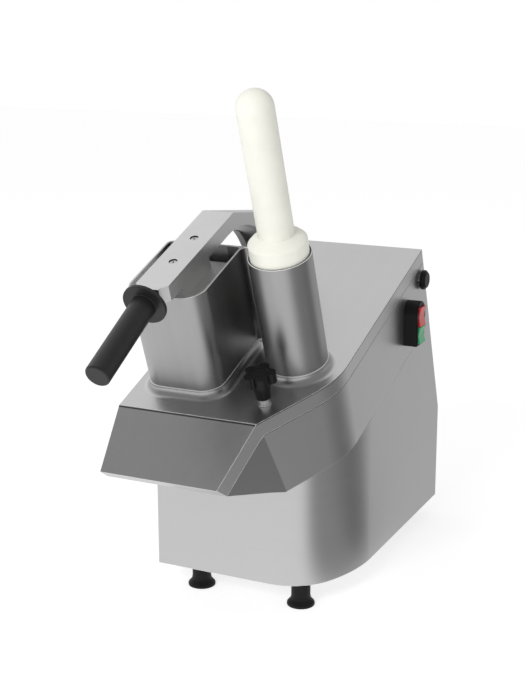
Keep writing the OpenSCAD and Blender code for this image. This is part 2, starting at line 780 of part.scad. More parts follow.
// Foot of a collar: a concave quarter round beside a wall
module collar_foot() difference() {
    translate([-clear, 0]) square([collar_h + clear, collar_h]);
    translate([collar_h, collar_h]) circle(collar_h);
}

module hopper_axis() translate([-hopper_x, hopper_v, 0]) children();
module tube_axis() translate([tube_x, tube_v, 0]) children();

// Plan of the hopper, drawn in by an inset
module hopper_plan(inset)
    two_ends(hopper_w - 2 * inset, hopper_d - 2 * inset, hopper_r - inset, hopper_rear_r - inset);

// Concave foot all round the hopper's collar
module hopper_foot() {
    side_l = hopper_d - hopper_r - hopper_rear_r;
    front_l = hopper_w - 2 * hopper_r;
    rear_l = hopper_w - 2 * hopper_rear_r;
    for (side = [0, 1]) rotate([0, 0, 180 * side])
        translate([hopper_w / 2, hopper_d / 2 - (side == 0 ? hopper_rear_r : hopper_r), 0])
            rotate([90, 0, 0]) linear_extrude(side_l) collar_foot();
    rotate([0, 0, 90]) translate([hopper_d / 2, rear_l / 2, 0]) rotate([90, 0, 0])
        linear_extrude(rear_l) collar_foot();
    rotate([0, 0, -90]) translate([hopper_d / 2, front_l / 2, 0]) rotate([90, 0, 0])
        linear_extrude(front_l) collar_foot();
    for (n = [0 : 3]) {
        radius = n < 2 ? hopper_rear_r : hopper_r;
        across = hopper_w / 2 - radius;
        along = hopper_d / 2 - radius;
        translate([n == 0 || n == 3 ? across : -across, n < 2 ? along : -along, 0])
            rotate([0, 0, 90 * n]) rotate_extrude(angle = 90) translate([radius, 0]) collar_foot();
    }
}

web_end_share = 0.25;

// Rear wall carried on to the feed tube behind the gap, rounded into the right wall
module hopper_web() difference() {
    across = hopper_w / 2;
    rear = hopper_d / 2;
    tube_at = [tube_x + hopper_x, tube_v - hopper_v];
    union() {
        translate([across - hopper_rear_r, rear - feed_t - web_r])
            square([hopper_rear_r + web_r, web_r + feed_t]);
        translate([across, rear - feed_t])
            square([tube_at[0] - web_end_share * tube_r - across, feed_t]);
    }
    translate([across + web_r, rear - feed_t - web_r]) circle(web_r);
    translate(tube_at) circle(tube_r + fit);
}

stud_hole_r = stud_d / 2 + 2 * fit;

// Side view of the lid, full or hollowed out under its sheet
module lid_side() polygon([[rear_v, 0], crease(0), under_nose(nose_l, 0), under_nose(nose_l, flange),
    crease(flange), [rear_v, -flange]]);
module lid_hollow_side() polygon([[rear_v, -sheet], crease(sheet), under_nose(nose_l - sheet, sheet),
    under_nose(nose_l - sheet, 2 * flange), [rear_v, -housing_d]]);

module lid() color(steel) slope() difference() {
    union() {
        intersection() {
            translate([0, 0, -housing_d]) linear_extrude(housing_d + over) long_plan(0, 0);
            along_x(-half_w, body_w) lid_side();
        }
        hopper_axis() hopper_foot();
        hopper_axis() linear_extrude(collar_h) hopper_plan(0);
        tube_axis() cylinder(r = tube_r, h = collar_h);
        tube_axis() rotate_extrude() translate([tube_r, 0]) collar_foot();
    }
    difference() {
        intersection() {
            translate([0, 0, -housing_d]) linear_extrude(housing_d + over) long_plan(sheet, over);
            along_x(-half_w, body_w) lid_hollow_side();
        }
        hopper_axis() translate([0, 0, -skirt_d]) linear_extrude(flange) hopper_plan(0);
        tube_axis() translate([0, 0, -skirt_d]) cylinder(r = tube_r, h = flange);
    }
    hopper_axis() translate([0, 0, -flange - over]) linear_extrude(flange + collar_h + 2 * over)
        hopper_plan(feed_t);
    tube_axis() translate([0, 0, sheet - skirt_d]) cylinder(r = tube_in, h = skirt_d + collar_h + over);
    tube_axis() translate([0, 0, -flange - over]) cylinder(r = tube_in - stop_lip, h = 2 * flange);
    lock_axis() translate([0, 0, -over]) cylinder(r = stud_hole_r, h = 2 * over);
}

module hopper() color(steel) slope() hopper_axis() translate([0, 0, collar_h])
    linear_extrude(hopper_h - collar_h) difference() {
        union() {
            hopper_plan(0);
            hopper_web();
        }
        hopper_plan(feed_t);
    }

module feed_tube() color(steel) slope() tube_axis() translate([0, 0, collar_h])
    ring(tube_r, tube_in, tube_h - collar_h);

module pusher() color(ivory) slope() tube_axis() translate([0, 0, piston_top]) difference() {
    rotate_extrude() union() {
        translate([0, -piston_l]) square([piston_r, piston_l]);
        polygon([[0, 0], [piston_r, 0], [piston_r - shoulder_h / 2, shoulder_h / 2],
            [pusher_grip_r, shoulder_h], [0, shoulder_h]]);
        translate([0, shoulder_h - clear]) square([pusher_grip_r, pusher_grip_l - pusher_grip_r + clear]);
        translate([0, shoulder_h + pusher_grip_l - pusher_grip_r]) intersection() {
            circle(pusher_grip_r);
            square(pusher_grip_r + clear);
        }
    }
    translate([0, 0, -piston_l - over]) cylinder(r = piston_r - piston_wall, h = piston_hollow + over);
}

// Side view of the lever: bar, arch, rear leg and boss
module lever_side() {
    lean = tan(grip_turn) * lever_t / 2;
    union() {
        difference() {
            polygon([[lean - lever_front, lever_low], [-lever_front - lean, lever_top], [knee_v, lever_top],
                leg_touch, pin_at, under_touch, arch_end, [arch_v, lever_low]]);
            translate([arch_v, arch_h]) circle(arch_r);
        }
        translate(pin_at) circle(boss_r);
    }
}

lever_left = -lever_x - lever_w / 2;
head_r = 3.9;
head_h = 4.5;
head_play = 0.5;
head_sunk = 1.2;
lever_nose = 8;
lever_screw_r = 2.5;

module at_lever_screws() for (side = [-1, 1])
    translate([-lever_x, side * screw_pitch / 2 + clear, 0]) children();

module lever_arm() color(cast) slope() difference() {
    union() {
        along_x(lever_left, lever_w) difference() {
            lever_side();
            translate(pin_at) circle(shoulder_r);
        }
        along_x(-lever_x - tongue_w / 2, tongue_w) lever_side();
    }
    along_x(-lever_x - lever_w, 2 * lever_w) translate(pin_at) circle(pin_d / 2 + fit);
    for (side = [-1, 1]) translate([-lever_x + side * lever_w / 2, -lever_front, lever_low - over])
        cylinder(r = lever_nose, h = lever_t + 2 * over, $fn = 4);
    at_lever_screws() {
        translate([0, 0, lever_top - head_sunk - head_h - lie])
            cylinder(r = head_r + head_play, h = head_sunk + head_h + over);
        translate([0, 0, lever_low - over]) cylinder(r = lever_screw_r + lie, h = lever_t + over);
    }
}

module lever_screws() color(bright) slope() at_lever_screws() difference() {
    union() {
        translate([0, 0, lever_top - head_sunk - head_h]) cylinder(r = head_r, h = head_h);
        translate([0, 0, lever_low - screw_in])
            cylinder(r = lever_screw_r, h = lever_t - head_sunk - head_h + screw_in + clear);
    }
    translate([0, 0, lever_top - head_sunk - head_h / 2]) cylinder(r = head_r / 2, h = over, $fn = 6);
}

screw_in = 14;

shoe_rear_r = 6;

// Press shoe between two heights: the hopper's plan swept round the lever pin, so that it swings clear
module shoe_body(low, high, inset) intersection() {
    hopper_axis() translate([0, 0, low]) linear_extrude(high - low)
        square(hopper_w + hopper_d, center = true);
    translate([-hopper_x, pin_v, pin_h]) rotate([0, 90, 0]) rotate_extrude($fn = 240)
        translate([(shoe_in_r + shoe_out_r) / 2, 0]) rotate(90)
            two_ends(hopper_w - 2 * (feed_t + shoe_gap + inset), shoe_out_r - shoe_in_r - 2 * inset,
                hopper_r - feed_t - shoe_gap - inset, shoe_rear_r - inset);
}

rib_l = screw_pitch + 4 * head_r;

module press_shoe() color(steel) slope() difference() {
    union() {
        difference() {
            shoe_body(shoe_low + plate_t, shoe_top, 0);
            shoe_body(shoe_low + plate_t - over, shoe_top - shoe_t, shoe_t);
        }
        translate([-lever_x - rib_w / 2, clear - rib_l / 2, shoe_top - shoe_t])
            cube([rib_w, rib_l, lever_low - shoe_top + shoe_t]);
    }
    at_lever_screws() translate([0, 0, lever_low - screw_in - clear])
        cylinder(r = lever_screw_r + fit, h = screw_in + over);
}

module press_plate() color(steel) slope() shoe_body(shoe_low, shoe_low + plate_t, 0);

module grip_axis() translate([-lever_x, -lever_front, lever_mid]) rotate([90 + grip_turn, 0, 0]) children();

module grip() color(black) slope() grip_axis() rotate_extrude() union() {
    square([neck_d / 2, neck_l + clear]);
    translate([0, neck_l]) square([guard_d / 2, guard_t]);
    translate([0, neck_l]) square([grip_r, guard_t + grip_l - grip_bevel]);
    translate([0, neck_l + guard_t + grip_l - grip_bevel - clear])
        square([grip_r - grip_bevel, grip_bevel + clear]);
    polygon([[0, grip_bottom - grip_bevel], [grip_r, grip_bottom - grip_bevel],
        [grip_r - grip_bevel, grip_bottom], [0, grip_bottom]]);
}

bracket_t = 4;
bracket_rear = 240;
bracket_front = 150;
bracket_out = 8;
ear_gap = 1;
ear_turn = 10;

// Side view of the bracket's ears, under the lever and round its pin
module ear_side() difference() {
    union() {
        translate(pin_at) circle(boss_r);
        polygon([[arch_v + arch_r * cos(asin(arch_h / arch_r)), 0], [bracket_rear - over, 0],
            pin_at + boss_r * [cos(ear_turn), sin(ear_turn)], pin_at,
            under_touch + [0, -ear_gap], arch_end + [0, -ear_gap], [arch_v, arch_h]]);
    }
    translate([arch_v, arch_h]) circle(arch_r);
    under_cut();
}

// Keeps the ears below the lever's underside
module under_cut() polygon([arch_end + [0, -ear_gap], under_touch + [0, -ear_gap],
    under_touch + [-boss_r, boss_r], arch_end + [0, boss_r]]);

module lever_bracket() color(steel) slope() difference() {
    union() {
        for (side = [0, 1]) along_x(lever_left + side * (lever_w - ear_w), ear_w) ear_side();
        translate([lever_left - bracket_out, bracket_front, 0])
            cube([lever_w + 2 * bracket_out, bracket_rear - bracket_front, bracket_t]);
    }
    along_x(-lever_x - lever_w, 2 * lever_w) translate(pin_at) circle(pin_d / 2 + fit);
    at_bracket_screws() translate([0, 0, -over]) cylinder(r = bracket_screw_r + lie, h = 3 * over);
}

bracket_screw_r = 2;
bracket_head_r = 3.4;
bracket_head_h = 2.4;

module at_bracket_screws()
    for (side = [-1, 1], v = [bracket_front + 2 * bracket_out, bracket_rear - 2 * bracket_out])
        translate([side * (lever_w + bracket_out) / 2 - lever_x, v, 0]) children();

module bracket_screws() color(bright) slope() at_bracket_screws() union() {
    translate([0, 0, bracket_t]) cylinder(r = bracket_head_r, h = bracket_head_h);
    cylinder(r = bracket_screw_r, h = bracket_t + clear);
}

module lever_pin() color(bright) slope() union() {
    along_x(lever_left - pin_head_t, lever_w + 2 * pin_head_t) translate(pin_at) circle(pin_d / 2);
    for (x = [lever_left - pin_head_t - fit, lever_left + lever_w + fit])
        along_x(x, pin_head_t) translate(pin_at) circle(pin_d / 2 + pin_head_t / 2);
}

pin_head_t = 2;

hinge_x = -half_w - hinge_out;
leaf_t = 2;
leaf_h = 11;
leaf_play = 0.6;
leaf_gap = knuckle_r + leaf_play;
knuckle_gap = 0.3;

module at_hinges() for (v = [hinge_front, hinge_rear])
    translate([0, v - hinge_l / 2, seam_gap / 2 - seat_w]) children();

// One leaf with its knuckles, cut in fifths; side is 1 for the lid and -1 for the body
module leaf(side, fifths) {
    part_l = hinge_l / 5;
    difference() {
        union() {
            translate([-half_w - leaf_t, 0, side > 0 ? leaf_gap : -leaf_gap - leaf_h])
                cube([leaf_t, hinge_l, leaf_h]);
            for (n = fifths) translate([0, n * part_l + knuckle_gap / 2, 0]) {
                translate([-half_w - leaf_t, 0, side > 0 ? clear : -leaf_gap - clear])
                    cube([leaf_t - lie, part_l - knuckle_gap, leaf_gap]);
                translate([hinge_x, 0, 0]) rotate([-90, 0, 0])
                    cylinder(r = knuckle_r, h = part_l - knuckle_gap);
            }
        }
        translate([hinge_x, -over, 0]) rotate([-90, 0, 0])
            cylinder(r = hinge_pin_d / 2 + fit, h = hinge_l + 2 * over);
    }
}

module lid_hinge_leaves() color(bright) slope() at_hinges() leaf(1, [1, 3]);
module body_hinge_leaves() color(bright) slope() at_hinges() leaf(-1, [0, 2, 4]);
module hinge_pins() color(bright) slope() at_hinges() translate([hinge_x, knuckle_gap / 2, 0])
    rotate([-90, 0, 0]) cylinder(r = hinge_pin_d / 2, h = hinge_l - knuckle_gap);

lobe_count = 5;
lobe_r = 7;
hollow_r = 4.8;
hub_top_r = 10;
hub_low_r = 8.2;
knob_low = 9;
washer_r = 7;
washer_t = 1.6;
lock_depth = 12;
stud_play = 1.8;
stud_bore_r = stud_d / 2 + stud_play;
stud_point_r = 1.6;

module lock_axis() translate([knob_x, -knob_v, 0]) children();

// Star head: a round with lobes and round hollows between them
module star(more) difference() {
    union() {
        circle(knob_d / 2 - lobe_r);
        for (n = [0 : lobe_count - 1]) rotate(360 * n / lobe_count + 18)
            translate([knob_d / 2 - lobe_r, 0]) circle(lobe_r - more);
    }
    for (n = [0 : lobe_count - 1]) rotate(360 * (n + 0.5) / lobe_count + 18)
        translate([knob_d / 2 + more, 0]) circle(hollow_r);
}

module lock_knob() color(black) slope() lock_axis() difference() {
    union() {
        translate([0, 0, knob_h]) linear_extrude(knob_t) star(0);
        translate([0, 0, knob_low]) cylinder(r1 = hub_low_r, r2 = hub_top_r, h = knob_h - knob_low + clear);
        translate([0, 0, knob_h + knob_t]) cylinder(r1 = hub_top_r, r2 = hub_low_r, h = clear);
    }
    translate([0, 0, knob_low - over]) cylinder(r = stud_d / 2 + fit, h = knob_h - knob_low + over);
}

// The stud's tapered end finds the bracket's bore as the lid closes
module lock_stud() color(bright) slope() lock_axis() union() {
    translate([0, 0, -sheet]) cylinder(r = stud_d / 2, h = sheet + knob_h - clear);
    translate([0, 0, -lock_depth]) cylinder(r1 = stud_point_r, r2 = stud_d / 2, h = lock_depth - sheet);
    translate([0, 0, washer_t + lie]) cylinder(r = stud_d / 2 + clear, h = knob_low - washer_t - 2 * lie);
}

module lock_washer() color(bright) slope() lock_axis() translate([0, 0, lie])
    ring(washer_r, stud_d / 2 + fit, washer_t - lie);

lock_top = 3;
lock_t = 8;
lock_boss_r = 9.4;
tab_from = 5;
tab_to = 22;
tab_t = 4.5;
tab_d = 34;
tab_ease = 1.5;

// Arm with its upright tab on the housing's wall, under the lid
module lock_bracket() color(steel) slope() difference() {
    away = [knob_x - nose_x, nose_v - knob_v];
    boss = [away[0] * cos(side_turn) - away[1] * sin(side_turn),
        away[0] * sin(side_turn) + away[1] * cos(side_turn)];
    tab_x = -sheet - lie - tab_t;
    union() {
        edge_frame() translate([0, tab_to, 0]) rotate([90, 0, 0]) linear_extrude(tab_to - tab_from)
            polygon([[tab_x, -tab_d], [tab_x + tab_t, -tab_d], [tab_x + tab_t, -seat_w - clear],
                [tab_x + tab_t - tab_ease, -seat_w - clear], [tab_x + tab_t - tab_ease, -lock_top],
                [tab_x, -lock_top]]);
        edge_frame() translate([0, 0, -lock_top - lock_t / 2]) linear_extrude(lock_t / 2 - lie)
            polygon([[tab_x + clear, tab_from + clear], [tab_x + clear, tab_to - clear],
                boss + [0, lock_boss_r - clear], boss - [0, lock_boss_r - clear]]);
        lock_axis() translate([0, 0, -lock_top - lock_t]) cylinder(r = lock_boss_r, h = lock_t);
    }
    lock_axis() translate([0, 0, -lock_top - lock_t - over]) cylinder(r = stud_bore_r, h = lock_t + 2 * over);
}

magnet_v = 150;
magnet_l = 20;
magnet_w = 5;
magnet_h = 8;
sensor_h = 3;

module lid_magnet() color(black) slope()
    translate([half_w - sheet - magnet_w, magnet_v, -sheet - magnet_h]) cube([magnet_w, magnet_l, magnet_h]);

module lid_sensor() color(black) slope()
    translate([half_w - sheet - magnet_w - 2 * clear, magnet_v, -deck_top])
        cube([magnet_w, magnet_l, sensor_h]);

can_r = 18;
can_l = 74;
can_y = 70;
clamp_t = 1.5;
clamp_w = 16;

module can_axis() translate([-can_l / 2, can_y, foot_h + base_t + can_r + lie]) rotate([0, 90, 0]) children();

module capacitor() color("whitesmoke") place() can_axis() union() {
    cylinder(r = can_r, h = can_l);
    translate([0, 0, can_l]) cylinder(r = can_r / 2, h = over);
}

module capacitor_clamp() color(zinc) place() translate([-clamp_w / 2, can_y, foot_h + base_t]) difference() {
    band_r = can_r + fit + clamp_t;
    union() {
        translate([0, 0, can_r + lie]) rotate([0, 90, 0]) cylinder(r = band_r, h = clamp_w);
        translate([0, -band_r, 0]) cube([clamp_w, 2 * band_r, can_r]);
        translate([0, -band_r - 2 * over, 0]) cube([clamp_w, 2 * band_r + 4 * over, clamp_t]);
    }
    translate([-over, 0, can_r + lie]) rotate([0, 90, 0]) cylinder(r = can_r + fit, h = clamp_w + 2 * over);
    translate([-over, -can_r - fit, -over])
        cube([clamp_w + 2 * over, 2 * can_r + 2 * fit, over + can_r + lie]);
}

switch_low_w = 25;
switch_mid_y = switch_y + switch_w / 2;
switch_mid_z = foot_h + switch_z + switch_h / 2;
switch_hole_r = 11;
switch_neck_r = switch_hole_r - fit;
key_w = 19;
key_gap = 0.4;
red_h = 24;
green_h = 21;
key_deep = 9;

// Front view of the switch box: round top, narrower foot
module switch_face(inset) {
    top_r = switch_w / 2 - inset;
    low = switch_low_w / 2 - inset;
    union() {
        translate([0, switch_h / 2 - switch_w / 2]) circle(top_r);
        polygon([[-top_r, switch_h / 2 - switch_w / 2], [top_r, switch_h / 2 - switch_w / 2],
            [low, inset - switch_h / 2], [-low, inset - switch_h / 2]]);
    }
}

module switch_place() place() translate([half_w, switch_mid_y, switch_mid_z]) rotate([90, 0, 90]) children();

red_over = 9;
red_low = switch_h / 2 - switch_w / 2 - red_h + red_over;

module switch_box() color(black) switch_place() difference() {
    union() {
        linear_extrude(switch_out - clear) switch_face(0);
        translate([0, 0, switch_out - clear]) linear_extrude(clear) switch_face(clear);
        translate([0, 0, -sheet - 2 * over]) cylinder(r = switch_neck_r, h = sheet + 2 * over + clear);
    }
    translate([-key_w / 2 - key_gap, red_low - green_h - 2 * key_gap, switch_out - key_deep])
        cube([key_w + 2 * key_gap, green_h + red_h + 3 * key_gap, key_deep + over]);
}

// A key with a hollow for the finger, as seen from the front, from its lower edge
module key(tall) rotate([90, 0, 90]) translate([0, 0, -key_w / 2]) linear_extrude(key_w)
    polygon([[0, switch_out - key_deep + key_travel + key_gap], [0, switch_out + key_up],
        [tall / 2, switch_out + clear / 2], [tall, switch_out + key_up],
        [tall, switch_out - key_deep + key_travel + key_gap]]);

module stop_button() color("crimson") switch_place() translate([0, red_low, 0]) key(red_h);
module start_button() color("seagreen") switch_place()
    translate([0, red_low - key_gap - green_h, 0]) key(green_h);

reset_bush_r = 6;
reset_bush_out = 2;
reset_stem_r = 3.5;
reset_travel = 2;

module reset_axis() slope() translate([half_w, rear_v - reset_back, -reset_drop])
    rotate([0, 90, 0]) children();

module reset_bush() color(bright) reset_axis() difference() {
    union() {
        translate([0, 0, -sheet - over]) cylinder(r = reset_bush_r - fit, h = sheet + over + clear);
        cylinder(r = reset_bush_r + clear, h = reset_bush_out);
        translate([0, 0, -sheet - nut_h]) cylinder(r = reset_bush_r + 2 * clear, h = nut_h, $fn = 6);
    }
    translate([0, 0, -2 * over]) cylinder(r = reset_stem_r + fit, h = 4 * over);
}

// Cap with a bevelled rim, hollow over the bush, on its stem
module reset_knob() color(black) reset_axis() difference() {
    union() {
        rotate_extrude() polygon([[0, reset_travel + lie], [reset_d / 2, reset_travel + lie],
            [reset_d / 2, reset_out - reset_d / 8], [reset_d / 2 - reset_d / 8, reset_out], [0, reset_out]]);
        translate([0, 0, -sheet - over]) cylinder(r = reset_stem_r, h = sheet + over + reset_out - clear);
    }
    translate([0, 0, -over]) difference() {
        cylinder(r = reset_bush_r + 2 * clear, h = over + reset_bush_out + reset_travel + lie);
        cylinder(r = reset_stem_r, h = 3 * over);
    }
}

gland_x = 70;
gland_z = 45;
gland_hole_r = 8;
gland_r = 11;
gland_bore_r = 4;

module cord_gland() color(black) place() translate([-gland_x, body_l, foot_h + gland_z])
    rotate([-90, 0, 0]) difference() {
    union() {
        translate([0, 0, -sheet - over]) cylinder(r = gland_hole_r - fit, h = sheet + over + clear);
        cylinder(r = gland_r, h = gland_out / 2, $fn = 6);
        cylinder(r = gland_r * cos(30), h = gland_out * 2 / 3);
        translate([0, 0, gland_out * 2 / 3])
            cylinder(r1 = gland_r * cos(30), r2 = gland_bore_r + 2 * clear, h = gland_out / 3);
        translate([0, 0, -sheet - nut_h]) cylinder(r = gland_r, h = nut_h, $fn = 6);
    }
    translate([0, 0, -3 * over]) cylinder(r = gland_bore_r, h = gland_out + 6 * over);
}

base_shell();
base_plate();
feet();
foot_screws();
upper_housing();
chamber_bowl();
chute_plate();
drive_plate();
bearing_housing();
bearings();
shaft_seal();
spindle();
cutting_disc();
disc_blades();
ejector_disc();
disc_nut();
driven_pulley();
drive_belt();
motor_pulley();
motor_rotor();
motor_fan();
motor_case();
fan_cowl();
drive_bolts();
lid();
hopper();
feed_tube();
pusher();
lever_arm();
press_shoe();
press_plate();
lever_screws();
grip();
lever_bracket();
lever_pin();
bracket_screws();
lid_hinge_leaves();
body_hinge_leaves();
hinge_pins();
lock_knob();
lock_stud();
lock_washer();
lock_bracket();
lid_magnet();
lid_sensor();
capacitor();
capacitor_clamp();
switch_box();
stop_button();
start_button();
reset_bush();
reset_knob();
cord_gland();
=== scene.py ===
"""Looks of a counter-top vegetable cutting machine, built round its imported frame.

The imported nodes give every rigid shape. This file gives them their finishes, replaces the
large visible ones with the same shapes with rounded edges, and adds weld beads and the
studio.
"""

import json
import logging
import math
from dataclasses import dataclass
from enum import Enum
from typing import Any, Union

import bpy
from mathutils import Matrix, Vector

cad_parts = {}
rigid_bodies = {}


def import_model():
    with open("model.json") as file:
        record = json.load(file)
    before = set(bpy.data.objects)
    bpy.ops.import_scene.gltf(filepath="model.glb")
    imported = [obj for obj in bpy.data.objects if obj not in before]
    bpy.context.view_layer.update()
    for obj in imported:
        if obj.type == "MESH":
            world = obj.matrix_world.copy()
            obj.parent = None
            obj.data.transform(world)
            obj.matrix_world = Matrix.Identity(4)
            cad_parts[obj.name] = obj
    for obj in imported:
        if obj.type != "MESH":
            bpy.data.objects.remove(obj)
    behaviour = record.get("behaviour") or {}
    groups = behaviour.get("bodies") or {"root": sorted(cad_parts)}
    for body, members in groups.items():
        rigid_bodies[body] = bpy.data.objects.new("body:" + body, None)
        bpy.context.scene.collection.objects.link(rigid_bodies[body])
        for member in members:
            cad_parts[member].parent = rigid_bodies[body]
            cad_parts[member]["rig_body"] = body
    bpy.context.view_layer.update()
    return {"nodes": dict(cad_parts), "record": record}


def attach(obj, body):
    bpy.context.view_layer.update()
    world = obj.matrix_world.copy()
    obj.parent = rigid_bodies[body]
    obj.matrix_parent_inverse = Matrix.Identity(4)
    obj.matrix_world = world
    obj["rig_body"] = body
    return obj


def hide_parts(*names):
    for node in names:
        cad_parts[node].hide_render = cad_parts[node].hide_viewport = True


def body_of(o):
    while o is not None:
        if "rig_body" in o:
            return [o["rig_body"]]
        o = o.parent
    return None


LOG = logging.getLogger("scene")
MM = 0.001

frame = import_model()

Triple = tuple[float, float, float]

# Sockets of the Mix node for colours, which share their names with those for other data
MIX_FACTOR, MIX_FIRST, MIX_SECOND, MIX_RESULT = 0, 6, 7, 2

# How much a noise is drawn out along the lines of a brush
DRAWN_OUT = 0.012


class Grain(Enum):
    """Direction in which a sheet was brushed, as the stretch of its noise along each axis."""

    LENGTHWISE = (1.0, DRAWN_OUT, 1.0)
    AROUND = (DRAWN_OUT, DRAWN_OUT, 1.0)
    UPRIGHT = (1.0, 1.0, DRAWN_OUT)


class Ray(Enum):
    """Kinds of ray that the studio answers differently."""

    CAMERA = "Is Camera Ray"
    GLOSSY = "Is Glossy Ray"


@dataclass(frozen=True)
class Place:
    """Main places of the machine, in metres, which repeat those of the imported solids.

    On the lid, x runs to the right, v up the slope and w square to the sheet.
    """

    tilt: float = math.radians(20.4)
    plane_z: float = 275.3 * MM
    mid_x: float = 5.7 * MM
    mid_y: float = 70.015 * MM
    tube_x: float = 58.8 * MM
    tube_v: float = 25.5 * MM
    tube_r: float = 34.7 * MM
    lever_screws: tuple[tuple[float, float], ...] = (
        (-42.0 * MM, 26.3 * MM),
        (-42.0 * MM, -24.3 * MM),
    )
    hopper_x: float = -49.9 * MM
    hopper_v: float = 2.8 * MM
    hopper_w: float = 93.0 * MM
    hopper_d: float = 114.4 * MM
    hopper_front_r: float = 24.0 * MM
    hopper_rear_r: float = 7.0 * MM
    collar_h: float = 9.7 * MM
    fold_w: float = -1.0 * MM
    flange_seam_w: float = -18.6 * MM
    base_seam_w: float = -105.4 * MM
    nose_fold_v: float = -79.3 * MM
    nose_fold_w: float = -19.0 * MM
    nose_fold_lean: float = 0.152

    def on_lid(self) -> Matrix:
        """Frame of the lid's plane.

        Returns:
            The matrix from lid coordinates to the part's frame.
        """
        move = Matrix.Translation((-self.mid_x, -self.mid_y, self.plane_z))
        return move @ Matrix.Rotation(self.tilt, 4, "X")


PLACE = Place()


class Value:
    """One output of a node graph, with arithmetic on it."""

    def __init__(self, graph: "Graph", socket: bpy.types.NodeSocket) -> None:
        """Wraps an output socket of a graph."""
        self.graph = graph
        self.socket = socket

    def __add__(self, other: "Operand") -> "Value":
        """Sum with a number or a value."""
        return self.graph.math("ADD", self, other)

    def __radd__(self, other: float) -> "Value":
        """Sum of a number and this value."""
        return self.graph.math("ADD", other, self)

    def __sub__(self, other: "Operand") -> "Value":
        """Difference from a number or a value."""
        return self.graph.math("SUBTRACT", self, other)

    def __rsub__(self, other: float) -> "Value":
        """Difference of a number from this value."""
        return self.graph.math("SUBTRACT", other, self)

    def __mul__(self, other: "Operand") -> "Value":
        """Product with a number or a value."""
        return self.graph.math("MULTIPLY", self, other)

    def __rmul__(self, other: float) -> "Value":
        """Product of a number and this value."""
        return self.graph.math("MULTIPLY", other, self)

    def unsigned(self) -> "Value":
        """Value without its sign."""
        return self.graph.math("ABSOLUTE", self)

    def clamped(self, low: float, high: float) -> "Value":
        """Limits the value.

        Args:
            low: Lowest result.
            high: Highest result.

        Returns:
            The limited value.
        """
        return self.graph.math("MINIMUM", self.graph.math("MAXIMUM", self, low), high)

    def ramp(self, low: float, high: float) -> "Value":
        """Smooth step from 0 at low to 1 at high.

        Args:
            low: Input that gives 0.
            high: Input that gives 1.

        Returns:
            The stepped value.
        """
        node = self.graph.node(
            "ShaderNodeMapRange",
            {"interpolation_type": "SMOOTHSTEP"},
            {"Value": self, "From Min": low, "From Max": high},
        )
        return Value(self.graph, node.outputs["Result"])


Operand = Union[Value, float]


@dataclass(frozen=True)
class Pattern:
    """Noise of one scale.

    The scale is in waves per metre, and rough is the share of each octave in the one before.
    """

    scale: float
    octaves: float = 3.0
    rough: float = 0.6


